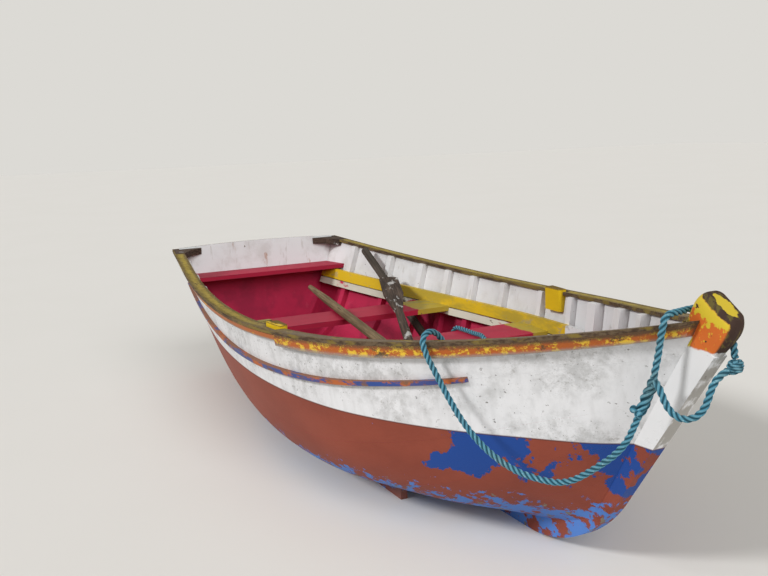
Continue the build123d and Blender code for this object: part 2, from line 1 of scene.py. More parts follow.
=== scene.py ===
"""A small wooden rowing boat: its paint, its bare wood and its laid rope.

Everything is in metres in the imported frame: X runs to the bow, Y to port, Z up from the floor.
The planks, timbers and oars are the frame's own solids under new finishes. The painter, its eye,
its splice and its knot are laid rope made here, close to the route of the frame's plain cords.
"""

import logging
import math
from dataclasses import dataclass, field, fields
from enum import Enum
from statistics import NormalDist
from typing import Any, NamedTuple, Optional, Protocol, Sequence, Union

import bpy
import numpy as np
from mathutils import Matrix, Vector


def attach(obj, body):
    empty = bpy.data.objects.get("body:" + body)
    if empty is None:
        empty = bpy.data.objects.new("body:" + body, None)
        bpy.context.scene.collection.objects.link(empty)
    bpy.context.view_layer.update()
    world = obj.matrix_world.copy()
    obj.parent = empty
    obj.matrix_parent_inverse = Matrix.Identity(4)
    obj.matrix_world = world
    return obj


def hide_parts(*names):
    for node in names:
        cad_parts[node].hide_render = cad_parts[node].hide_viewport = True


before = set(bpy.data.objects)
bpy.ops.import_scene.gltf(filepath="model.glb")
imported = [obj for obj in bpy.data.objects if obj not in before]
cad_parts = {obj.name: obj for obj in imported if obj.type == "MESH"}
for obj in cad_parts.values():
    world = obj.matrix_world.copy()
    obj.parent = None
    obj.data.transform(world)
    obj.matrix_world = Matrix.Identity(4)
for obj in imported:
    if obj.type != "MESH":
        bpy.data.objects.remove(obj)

LOG = logging.getLogger("rowing_boat")
BODY = "root"
CURVE_STEPS = 32  # points read from a curve between two of its control points
SAME_POINT = 1e-7  # distance in metres under which two points are one
DIRECTIONS = 200  # fixed directions tried for the frames along a line

Material = bpy.types.Material
Socket = bpy.types.NodeSocket
Triple = tuple[float, float, float]
Route = tuple[Triple, ...]
Value = Union[Socket, float, tuple]
Inputs = dict[Union[str, int], Value]

UP = (0.0, 0.0, 1.0)
DOWN = (0.0, 0.0, -1.0)
FORWARD = (1.0, 0.0, 0.0)
AFT = (-1.0, 0.0, 0.0)
PORT = (0.0, 1.0, 0.0)
STARBOARD = (0.0, -1.0, 0.0)


def linear(hex_colour: str) -> tuple[float, float, float, float]:
    """Linear colour of an sRGB hex colour.

    Args:
        hex_colour: The colour as "#RRGGBB".

    Returns:
        Red, green, blue and an alpha of 1, all linear.
    """
    channels = (int(hex_colour[start:start + 2], 16) / 255 for start in (1, 3, 5))
    red, green, blue = (c / 12.92 if c <= 0.04045 else ((c + 0.055) / 1.055) ** 2.4 for c in channels)
    return red, green, blue, 1.0


def add_node(
    tree: bpy.types.NodeTree, kind: str, inputs: Optional[Inputs] = None, **settings: Any
) -> bpy.types.bpy_prop_collection:
    """Adds one node with its settings, input values and incoming links.

    Args:
        tree: The node tree that gets the node.
        kind: The node's type name without "ShaderNode".
        inputs: For each input, by name or number, a value or the socket that feeds it.
        settings: Properties of the node itself.

    Returns:
        The new node's outputs.
    """
    node = tree.nodes.new("ShaderNode" + kind)
    for name, value in settings.items():
        setattr(node, name, value)
    for key, value in (inputs or {}).items():
        if isinstance(value, Socket):
            tree.links.new(value, node.inputs[key])
        else:
            node.inputs[key].default_value = value
    return node.outputs


class Overlap(Enum):
    """How two masks become one."""

    BOTH = "MULTIPLY"
    EITHER = "MAXIMUM"
    ONLY_FIRST = "SUBTRACT"


class Pattern(Protocol):
    """Anything that can be drawn on a surface as a mask from 0 to 1."""

    def mask(self, surface: "Surface") -> Socket:
        """Draws the pattern.

        Args:
            surface: The finish that it is drawn in.

        Returns:
            Its mask.
        """


class Finish(Protocol):
    """Anything that can be mixed into one material."""

    def material(self) -> Material:
        """Mixes the finish.

        Returns:
            The finished material.
        """


Mask = Union[Socket, Pattern]


class Surface:
    """A finish laid on coat by coat, with colour, roughness and relief kept in step.

    Patterns read Object coordinates in metres, turned first if the grain runs along another axis.

    Attributes:
        where: Masks that limit every coat, until they are changed.
    """

    GLOSS = 0.15  # specular level: fresh varnish has 0.5, and dry old paint has less

    def __init__(
        self, name: str, first_coat: str, roughness: float, grain_axis: Optional[Triple] = None
    ) -> None:
        """Starts the material.

        Args:
            name: The material's name.
            first_coat: Colour of what lies lowest, as sRGB hex.
            roughness: Roughness of that coat.
            grain_axis: Direction of the grain in the frame, or None for X.
        """
        self.material = bpy.data.materials.new(name)
        self.material.use_nodes = True
        self.tree = self.material.node_tree
        self.tree.nodes.clear()
        coordinates = add_node(self.tree, "TexCoord")
        self.place, self.normal, self.lay_map = (coordinates[name] for name in ("Object", "Normal", "UV"))
        self.grain = self.place
        if grain_axis is not None:
            turn = tuple(Vector(grain_axis).to_track_quat("X", "Z").inverted().to_euler())
            self.grain = add_node(self.tree, "Mapping", {"Vector": self.place, "Rotation": turn})[0]
        self.colour: Value = linear(first_coat)
        self.roughness: Value = roughness
        self.relief: Value = 0.0
        self.where: tuple[Mask, ...] = ()

    def overlap(self, how: Overlap, first: Union[Mask, float], second: Union[Mask, float]) -> Socket:
        """Mask made of two masks, kept between 0 and 1."""
        pair = [mask.mask(self) if hasattr(mask, "mask") else mask for mask in (first, second)]
        return add_node(self.tree, "Math", dict(enumerate(pair)), operation=how.value, use_clamp=True)[0]

    def without(self, mask: Mask) -> Socket:
        """Mask of everything that the given one leaves out."""
        return self.overlap(Overlap.ONLY_FIRST, 1.0, mask)

    def past(self, value: Socket, level: float, soft: float) -> Socket:
        """Mask that rises from 0 to 1 where a value passes a level.

        Args:
            value: The value, in its own unit.
            level: Where the mask stands at one half.
            soft: Half the width of the rise, in the same unit.

        Returns:
            The mask.
        """
        inputs = {"Value": value, "From Min": level - soft, "From Max": level + soft}
        return add_node(self.tree, "MapRange", inputs, interpolation_type="SMOOTHSTEP", clamp=True)[0]

    def lay(
        self,
        colour: str,
        *masks: Mask,
        roughness: Optional[float] = None,
        thick: float = 0.0,
        strength: float = 1.0,
    ) -> None:
        """Lays one more coat where all the masks agree.

        Args:
            colour: The coat's colour as sRGB hex.
            masks: Where it lies; everywhere if none is given.
            roughness: Its roughness, or None to keep what is below.
            thick: How far it stands above what is below, in metres; negative where it is sunk.
            strength: How much of what is below it hides.
        """
        cover: Value = strength
        for mask in (*masks, *self.where):
            cover = self.overlap(Overlap.BOTH, mask, cover)
        colours = {0: cover, 6: self.colour, 7: linear(colour)}
        self.colour = add_node(self.tree, "Mix", colours, data_type="RGBA")[2]
        if roughness is not None:
            values = {0: cover, 2: self.roughness, 3: roughness}
            self.roughness = add_node(self.tree, "Mix", values, data_type="FLOAT")[0]
        if thick:
            self.emboss(cover, thick)

    def emboss(self, value: Value, depth: float) -> None:
        """Adds a value from 0 to 1 to the relief, as that many metres."""
        sums = {0: value, 1: depth, 2: self.relief}
        self.relief = add_node(self.tree, "Math", sums, operation="MULTIPLY_ADD")[0]

    def finish(self) -> Material:
        """Closes the material with its shader.

        Returns:
            The finished material.
        """
        inputs = {"Base Color": self.colour, "Roughness": self.roughness, "Specular IOR Level": self.GLOSS}
        if isinstance(self.relief, Socket):
            inputs["Normal"] = add_node(self.tree, "Bump", {"Height": self.relief, "Distance": 1.0})[0]
        shader = add_node(self.tree, "BsdfPrincipled", inputs)[0]
        add_node(self.tree, "OutputMaterial", {"Surface": shader})
        return self.material


@dataclass(frozen=True)
class Patches:
    """Ragged patches, such as flakes, stains or specks.

    A patch lies where fractal noise passes the level that leaves the wanted share of the surface.

    Attributes:
        size: Usual distance from patch to patch, in metres.
        share: Share of the surface that they cover.
        stretch: How much finer the pattern is along each axis.
        soft: Half the width of a patch's edge, in units of the noise.
        detail: Octaves of the noise.
        ragged: How strong each finer octave is.
        shift: Moves the pattern, so that two coats don't flake alike.
    """

    size: float
    share: float
    stretch: Triple = (1.0, 1.0, 1.0)
    soft: float = 0.012
    detail: float = 6.0
    ragged: float = 0.6
    shift: float = 0.0

    NOISE_SPREAD = 0.105

    def mask(self, surface: Surface, lean: Optional[Socket] = None) -> Socket:
        """Mask of the patches.

        Args:
            surface: The finish that they lie in.
            lean: Added to the noise, so that the patches gather where it is high.

        Returns:
            The mask.
        """
        stretched = {0: surface.grain, 1: self.stretch, 2: (self.shift,) * 3}
        place = add_node(surface.tree, "VectorMath", stretched, operation="MULTIPLY_ADD")[0]
        inputs = {"Vector": place, "Scale": 1 / self.size, "Detail": self.detail, "Roughness": self.ragged}
        noise = add_node(surface.tree, "TexNoise", inputs)[0]
        if lean is not None:
            noise = add_node(surface.tree, "Math", {0: noise, 1: lean}, operation="ADD")[0]
        level = 0.5 + self.NOISE_SPREAD * NormalDist().inv_cdf(1 - self.share)
        return surface.past(noise, level, self.soft)


@dataclass(frozen=True)
class Beyond:
    """Everything past a plane, with an edge that wavers.

    Attributes:
        direction: Unit vector across the plane.
        distance: How far the plane lies along it from the origin, in metres.
        soft: Half the width of the edge, in metres.
        waver: How far the edge wanders, in metres.
        waver_size: Length of one swing of it, in metres.
    """

    direction: Triple
    distance: float
    soft: float = 0.002
    waver: float = 0.0
    waver_size: float = 0.05

    def mask(self, surface: Surface) -> Socket:
        """Mask of what lies past the plane."""
        tree = surface.tree
        pair = {0: surface.place, 1: self.direction}
        along = add_node(tree, "VectorMath", pair, operation="DOT_PRODUCT")["Value"]
        reach = add_node(tree, "Math", {0: along, 1: self.distance}, operation="SUBTRACT")[0]
        if self.waver:
            scale = 1 / self.waver_size
            inputs = {"Vector": surface.place, "Scale": scale, "Detail": 5.0, "Roughness": 0.6}
            sums = {0: add_node(tree, "TexNoise", inputs)[0], 1: 4 * self.waver, 2: -2 * self.waver}
            swing = add_node(tree, "Math", sums, operation="MULTIPLY_ADD")[0]
            reach = add_node(tree, "Math", {0: reach, 1: swing}, operation="ADD")[0]
        return surface.past(reach, 0.0, self.soft)


@dataclass(frozen=True)
class PaintedLine:
    """A line painted along the boat, a parabola seen from the side.

    Its height is base + slope * d + curve * d * d, where d is the distance forward of its start.

    Attributes:
        base: Height at the start, in metres.
        start: X of the start.
        slope: Rise per metre at the start.
        curve: Half the change of the rise per metre.
        level_aft: Whether it runs level aft of the start.
        soft: Half the width of the edge, in metres.
    """

    base: float
    start: float
    slope: float = 0.0
    curve: float = 0.0
    level_aft: bool = False
    soft: float = 0.0025

    def mask(self, surface: Surface, offset: float = 0.0) -> Socket:
        """Mask of what lies above the line.

        Args:
            surface: The finish that it is drawn in.
            offset: How much higher it is drawn, in metres.

        Returns:
            The mask.
        """
        tree = surface.tree
        x, _, z = add_node(tree, "SeparateXYZ", {0: surface.place})
        along = add_node(tree, "Math", {0: x, 1: self.start}, operation="SUBTRACT")[0]
        if self.level_aft:
            along = add_node(tree, "Math", {0: along, 1: 0.0}, operation="MAXIMUM")[0]
        rise = add_node(tree, "Math", {0: along, 1: self.curve, 2: self.slope}, operation="MULTIPLY_ADD")[0]
        line = add_node(tree, "Math", {0: along, 1: rise, 2: self.base}, operation="MULTIPLY_ADD")[0]
        above = add_node(tree, "Math", {0: z, 1: line}, operation="SUBTRACT")[0]
        return surface.past(above, offset, self.soft)


@dataclass(frozen=True)
class Facing:
    """Faces that look one way.

    Attributes:
        direction: Unit vector that they look along.
        least: Least cosine between it and the face's normal.
        soft: Half the width of the change, in units of the cosine.
    """

    direction: Triple
    least: float = 0.5
    soft: float = 0.08

    def mask(self, surface: Surface) -> Socket:
        """Mask of those faces."""
        pair = {0: surface.normal, 1: self.direction}
        cosine = add_node(surface.tree, "VectorMath", pair, operation="DOT_PRODUCT")["Value"]
        return surface.past(cosine, self.least, self.soft)


@dataclass(frozen=True)
class WornEdge:
    """Strips along sharp edges, found where rounding them over this radius would turn the surface.

    Attributes:
        radius: Width of the strip on each side of the edge, in metres.
        towards: Direction towards which the edge must look, or None for every edge.
        least: Least turn of the normal, as the length of the change of a unit vector.
    """

    radius: float
    towards: Optional[Triple] = None
    least: float = 0.12

    RAGGED = 0.16  # how far noise shifts the inner side, in units of the turn
    SOFT = 0.07  # half the width of that side, in the same unit

    def mask(self, surface: Surface) -> Socket:
        """Mask of the strips, ragged along their inner side."""
        tree = surface.tree
        rounded = add_node(tree, "Bevel", {"Radius": self.radius}, samples=5)[0]
        flat = add_node(tree, "NewGeometry")["Normal"]
        turn = add_node(tree, "VectorMath", {0: rounded, 1: flat}, operation="SUBTRACT")[0]
        inputs = {0: turn, 1: self.towards} if self.towards else {0: turn}
        operation = "DOT_PRODUCT" if self.towards else "LENGTH"
        size = add_node(tree, "VectorMath", inputs, operation=operation)["Value"]
        rough = Patches(0.02, 0.5, (0.5, 1, 1), soft=0.3, shift=12.0).mask(surface)
        worn = add_node(tree, "Math", {0: rough, 1: self.RAGGED, 2: size}, operation="MULTIPLY_ADD")[0]
        return surface.past(worn, self.least + self.RAGGED / 2, self.SOFT)


def brushed(surface: Surface) -> Material:
    """Finishes paint with brush marks along the grain, 0.3 mm apart but drawn 6 mm apart to show."""
    surface.emboss(Patches(0.006, 0.5, (0.06, 1, 1), soft=0.2, detail=3.0).mask(surface), 0.0002)
    return surface.finish()


@dataclass(frozen=True)
class InsidePaint:
    """Oil paint brushed inside the boat: white above the clamps and crimson below, dusty and stained.

    It gives the eye a clean two-colour interior, with rust and old wood at its edges.
    """

    name: str = "brushed_oil_paint_inside"
    line: PaintedLine = PaintedLine(base=0.514, start=-0.604, slope=-0.0059, curve=0.0201)
    white: str = "#D9D9DA"
    white_dirt: str = "#A9A49B"
    rust: str = "#A5672F"
    crimson: str = "#B5284C"
    crimson_worn: str = "#8C2340"
    crimson_faded: str = "#C24A63"
    wood: str = "#5C4A3E"

    def coats(self, surface: Surface, *where: Mask) -> None:
        """Lays the inside coats.

        Args:
            surface: The finish that gets them.
            where: Masks of the places that they cover.
        """
        white = self.line.mask(surface)
        surface.where = where
        surface.lay(self.crimson, roughness=0.55)
        surface.lay(self.crimson_worn, Patches(0.18, 0.35, soft=0.12), strength=0.7)
        surface.lay(self.crimson_faded, Patches(0.05, 0.08, soft=0.05, shift=3.1), strength=0.25)
        surface.lay(self.wood, Patches(0.035, 0.012, shift=1.7), roughness=0.8, thick=-0.0003)
        surface.lay(self.white, white, roughness=0.4)
        surface.lay(self.white_dirt, white, Patches(0.14, 0.3, soft=0.12, shift=5.2), strength=0.3)
        runs = Patches(0.03, 0.1, (1, 1, 0.2), soft=0.05, shift=7.7)
        surface.lay(self.white_dirt, white, runs, strength=0.35)
        rust = Patches(0.07, 0.035, (1, 1, 0.35), soft=0.04, shift=2.3)
        surface.lay(self.rust, white, rust, roughness=0.7, strength=0.75)
        surface.lay(self.wood, white, Patches(0.03, 0.03, shift=9.4), roughness=0.85, thick=-0.0004)
        surface.where = ()

    def material(self) -> Material:
        """Paint of the frames, which are painted inside all over."""
        surface = Surface(self.name, self.wood, 0.8)
        self.coats(surface)
        return brushed(surface)


@dataclass(frozen=True)
class HullPaint:
    """Oil paint brushed on the planks: white topsides, a brown-red bottom with older blues showing.

    It gives the eye scuffed chalky white, a crisp painted line with a thin painted shadow under it,
    and flakes of light and deep blue that gather low down and towards the bow.

    Attributes:
        line: Where the white begins.
        edge_width: Height of the painted shadow under the white, in metres.
        inside: Paint of the inner faces.
        middle_height: Height of a line along the boat's middle that outer faces look away from.
        outer_from: Least product of the distance from that line, in metres, and the normal.
        low_lean: Gain and shift of the light blue's noise, low down and aft.
        bow_lean: The same for the deep blue's, at the bow.
    """

    white: str = "#DCDCDE"
    smudge: str = "#B0B0B0"
    speck: str = "#625E59"
    scuff: str = "#8E8B87"
    rust: str = "#B98A45"
    line_edge: str = "#4A2A26"
    bottom: str = "#8A4535"
    bottom_dark: str = "#75382C"
    deep_blue: str = "#20458C"
    light_blue: str = "#517CC2"
    bare: str = "#7F7568"
    line: PaintedLine = PaintedLine(base=0.425, start=-0.2, curve=0.0148, level_aft=True)
    edge_width: float = 0.004
    inside: InsidePaint = InsidePaint()
    middle_height: float = 0.72
    outer_from: float = -0.03
    low_lean: tuple[float, float] = (0.3, -0.1)
    bow_lean: tuple[float, float] = (0.26, -0.05)

    def outer_side(self, surface: Surface) -> Socket:
        """Finds the planks' outer faces.

        Args:
            surface: The finish that gets the mask.

        Returns:
            Their mask.
        """
        tree = surface.tree
        _, y, z = add_node(tree, "SeparateXYZ", {0: surface.place})
        lift = add_node(tree, "Math", {0: z, 1: self.middle_height}, operation="SUBTRACT")[0]
        outward = add_node(tree, "CombineXYZ", {1: y, 2: lift})[0]
        pair = {0: outward, 1: surface.normal}
        along = add_node(tree, "VectorMath", pair, operation="DOT_PRODUCT")["Value"]
        return surface.past(along, self.outer_from, 0.002)

    def coats(self, surface: Surface, *where: Mask) -> None:
        """Lays the outside coats.

        Args:
            surface: The finish that gets them.
            where: Masks of the places that they cover.
        """
        white = self.line.mask(surface)
        below = surface.without(white)
        aft = surface.overlap(Overlap.BOTH, Beyond(AFT, 1.0, 0.35), 0.5)
        low = surface.overlap(Overlap.EITHER, Beyond((0.04, 0.0, -0.999), -0.2, 0.11), aft)
        bow = surface.overlap(Overlap.BOTH, Beyond((0.97, 0.0, 0.24), 1.0, 0.12), Beyond(UP, 0.27, 0.05))
        low_lean, bow_lean = (
            add_node(surface.tree, "Math", {0: mask, 1: gain, 2: shift}, operation="MULTIPLY_ADD")[0]
            for mask, (gain, shift) in ((low, self.low_lean), (bow, self.bow_lean))
        )
        surface.where = where
        surface.lay(self.bottom, roughness=0.55, thick=0.0005)
        surface.lay(self.bottom_dark, Patches(0.25, 0.4, (0.5, 1, 1), soft=0.15), strength=0.5)
        deep = Patches(0.12, 0.03, (0.8, 1.0, 0.9), soft=0.006, detail=8.0, ragged=0.64, shift=4.6)
        surface.lay(self.deep_blue, below, deep.mask(surface, bow_lean), roughness=0.45, thick=-0.0004)
        light = Patches(0.055, 0.05, (0.75, 1.0, 1.2), soft=0.01, detail=8.0, ragged=0.7, shift=1.0)
        surface.lay(self.light_blue, below, light.mask(surface, low_lean), roughness=0.6, thick=-0.0004)
        chips = Patches(0.022, 0.012, (0.8, 1.0, 1.2), soft=0.01, shift=6.0)
        surface.lay(self.light_blue, below, chips, roughness=0.6, thick=-0.0004)
        worn = Patches(0.05, 0.002, shift=8.0).mask(surface, low_lean)
        surface.lay(self.bare, below, worn, roughness=0.85, thick=-0.0006)
        # A thin dark band just under the white is a painted shadow of the white coat's edge.
        edge = surface.overlap(Overlap.ONLY_FIRST, self.line.mask(surface, -self.edge_width), white)
        surface.lay(self.line_edge, edge, strength=0.8)
        surface.lay(self.white, white, roughness=0.5, thick=0.0006)
        dirty = Patches(0.22, 0.45, (0.8, 1, 1), soft=0.1, detail=4.0, shift=2.0).mask(surface)
        smudges = Patches(0.05, 0.5, soft=0.12, detail=9.0, ragged=0.76, shift=2.0)
        surface.lay(self.smudge, white, smudges, dirty, strength=0.8)
        runs = Patches(0.03, 0.25, (1, 1, 0.2), soft=0.14, detail=5.0, shift=3.3)
        surface.lay(self.smudge, white, runs, strength=0.25)
        scuffs = Patches(0.035, 0.14, (0.7, 1.0, 1.2), soft=0.05, detail=9.0, ragged=0.8, shift=5.5)
        surface.lay(self.scuff, white, scuffs, dirty, roughness=0.75, strength=0.7)
        specks = Patches(0.014, 0.05, (0.8, 1, 1), soft=0.02, detail=3.0, shift=7.1)
        strewn = Patches(0.09, 0.55, soft=0.04, shift=11.0)
        surface.lay(self.speck, white, specks, strewn, roughness=0.8, thick=-0.0003, strength=0.8)
        pits = Patches(0.007, 0.05, soft=0.03, detail=2.0, shift=13.0)
        surface.lay(self.scuff, white, pits, dirty, strength=0.6)
        weeps = Patches(0.1, 0.012, (1.2, 1.0, 0.4), soft=0.03, shift=9.9)
        surface.lay(self.rust, white, weeps, strength=0.7)
        surface.where = ()

    def material(self) -> Material:
        """Paint of one plank, with the inside colours on its inner face."""
        surface = Surface("brushed_oil_paint_on_planks", self.bare, 0.85)
        outer = self.outer_side(surface)
        self.coats(surface, outer)
        self.inside.coats(surface, surface.without(outer))
        return brushed(surface)


@dataclass(frozen=True)
class ChippedPaint:
    """A coat of oil paint that flakes to an older coat and in places to the wood.

    It gives the eye the patchwork of colours of a boat painted every spring.

    Attributes:
        name: The material's name.
        coat: Newest colour.
        older: Colour below it.
        wood: Colour of the bare wood.
        flakes: Where the newest coat is gone.
        bare: Where both are gone.
        underside: Colour of the faces and edges that look down, or None to leave them as they are.
        top_wear: Colour of worn faces and edges that look up, or None.
        edge: How far the wear reaches from those edges, in metres.
    """

    name: str
    coat: str
    older: str
    wood: str
    flakes: Patches
    bare: Patches
    underside: Optional[str] = None
    top_wear: Optional[str] = None
    edge: float = 0.008

    def material(self) -> Material:
        """The finished material."""
        surface = Surface(self.name, self.coat, 0.45)
        surface.lay(self.wood, Patches(0.16, 0.4, (0.4, 1, 1), soft=0.15, shift=1.3), strength=0.16)
        surface.lay(self.older, self.flakes, roughness=0.6, thick=-0.0004)
        surface.lay(self.wood, self.bare, roughness=0.85, thick=-0.0008)
        if self.underside:
            low = surface.overlap(Overlap.EITHER, Facing(DOWN, 0.8), WornEdge(self.edge, DOWN))
            surface.lay(self.underside, low, roughness=0.8)
        if self.top_wear:
            worn = Patches(0.05, 0.72, (0.25, 1, 1), soft=0.05, shift=6.6)
            surface.lay(self.top_wear, Facing(UP, 0.6), worn, roughness=0.85)
            surface.lay(self.top_wear, WornEdge(self.edge, UP), roughness=0.85)
        return brushed(surface)


@dataclass(frozen=True)
class ClampPaint:
    """Yellow oil paint on the clamps, which turn white forward of the forward thwart.

    It gives the eye a bright band along the inside, dulled in patches by salt and hands.
    """

    yellow: str = "#D2AE22"
    dull: str = "#AF9734"
    white: str = "#D8D8D8"
    dirt: str = "#8F867A"
    wood: str = "#5C4A34"
    white_from: float = 0.42

    def material(self) -> Material:
        """The finished material."""
        surface = Surface("yellow_oil_paint_on_the_clamps", self.yellow, 0.42)
        surface.lay(self.dull, Patches(0.12, 0.32, (0.3, 1, 1), soft=0.07, shift=2.0))
        surface.lay(self.white, Beyond(FORWARD, self.white_from, 0.002, 0.004), roughness=0.45)
        surface.lay(self.dirt, Patches(0.04, 0.12, (0.6, 1, 1), soft=0.05, shift=8.0), strength=0.5)
        chips = Patches(0.03, 0.02, (0.4, 1, 1), shift=5.0)
        surface.lay(self.wood, chips, roughness=0.85, thick=-0.0006)
        return brushed(surface)


@dataclass(frozen=True)
class ThwartPaint:
    """Crimson oil paint on a board across the boat, with its ends painted yellow and worn.

    It gives the eye the smooth warm red of the seats, matt where feet and ropes rub it.

    Attributes:
        board: The board's name.
        port_end: Y at which the yellow begins to port, in metres.
        starboard_end: The same to starboard, as a positive distance.
    """

    board: str
    port_end: float
    starboard_end: float
    crimson: str = "#A9213E"
    crimson_worn: str = "#8C1D35"
    rubbed: str = "#7A2A3C"
    yellow: str = "#AE9836"
    yellow_faded: str = "#8F8A5C"
    old_wood: str = "#5A4A3A"
    tarred: str = "#2F2924"

    def material(self) -> Material:
        """The finished material."""
        surface = Surface("crimson_oil_paint_on_" + self.board, self.crimson, 0.55)
        surface.lay(self.crimson_worn, Patches(0.22, 0.4, (1, 0.4, 1), soft=0.14), strength=0.6)
        edge = Patches(0.05, 0.45, (1, 0.4, 1), soft=0.05, shift=6.0)
        surface.lay(self.rubbed, WornEdge(0.005), edge, roughness=0.8, strength=0.8)
        chips = Patches(0.03, 0.012, (1, 0.5, 1), shift=4.0)
        surface.lay(self.old_wood, chips, roughness=0.85, thick=-0.0005)
        port = Beyond(PORT, self.port_end, 0.002, 0.012).mask(surface)
        starboard = Beyond(STARBOARD, self.starboard_end, 0.002, 0.012).mask(surface)
        ends = surface.overlap(Overlap.EITHER, port, starboard)
        surface.lay(self.yellow, ends, roughness=0.5, thick=0.0002)
        faded = Patches(0.06, 0.35, (1, 0.4, 1), soft=0.08, shift=5.0)
        surface.lay(self.yellow_faded, ends, faded, strength=0.6)
        worn = Patches(0.07, 0.4, (1, 0.5, 1), soft=0.015, shift=8.0)
        surface.lay(self.tarred, starboard, worn, roughness=0.85, thick=-0.0006)
        surface.lay(self.old_wood, port, Patches(0.04, 0.05, shift=8.5), roughness=0.85, thick=-0.0006)
        return brushed(surface)


@dataclass(frozen=True)
class CapPaint:
    """Ochre-yellow oil paint worn off the edges of the gunwale's cap.

    It gives the eye a dull yellow stripe between dark edges that hands, oars and ropes have rubbed.
    """

    yellow: str = "#A08B2F"
    yellow_dirty: str = "#786628"
    edge: str = "#45362A"
    grey: str = "#6C5C48"
    olive: str = "#7E6C30"

    def material(self) -> Material:
        """The finished material."""
        surface = Surface("worn_ochre_oil_paint", self.edge, 0.8)
        top = Facing(UP, 0.7).mask(surface)
        grain = Patches(0.01, 0.5, (0.05, 1, 1), soft=0.1, detail=4.0)
        surface.lay(self.grey, grain, strength=0.7, thick=0.0003)
        paint = Patches(0.05, 0.88, (0.4, 1, 1), soft=0.03, detail=8.0, ragged=0.68, shift=2.0)
        middle = surface.without(WornEdge(0.028, least=0.05))
        surface.lay(self.yellow, top, middle, paint, roughness=0.55, thick=0.0003)
        dirt = Patches(0.09, 0.5, (0.3, 1, 1), soft=0.12, shift=4.4)
        surface.lay(self.yellow_dirty, top, dirt, strength=0.5)
        side = Patches(0.05, 0.3, (0.2, 1, 1), soft=0.06, shift=6.2)
        surface.lay(self.olive, surface.without(top), side, roughness=0.6, strength=0.8)
        forward = Beyond((0.62, -0.78, 0.0), 0.66, 0.14, 0.05)
        surface.lay(self.grey, forward, top, Patches(0.03, 0.75, (0.2, 1, 1), soft=0.05, shift=9.0))
        return surface.finish()


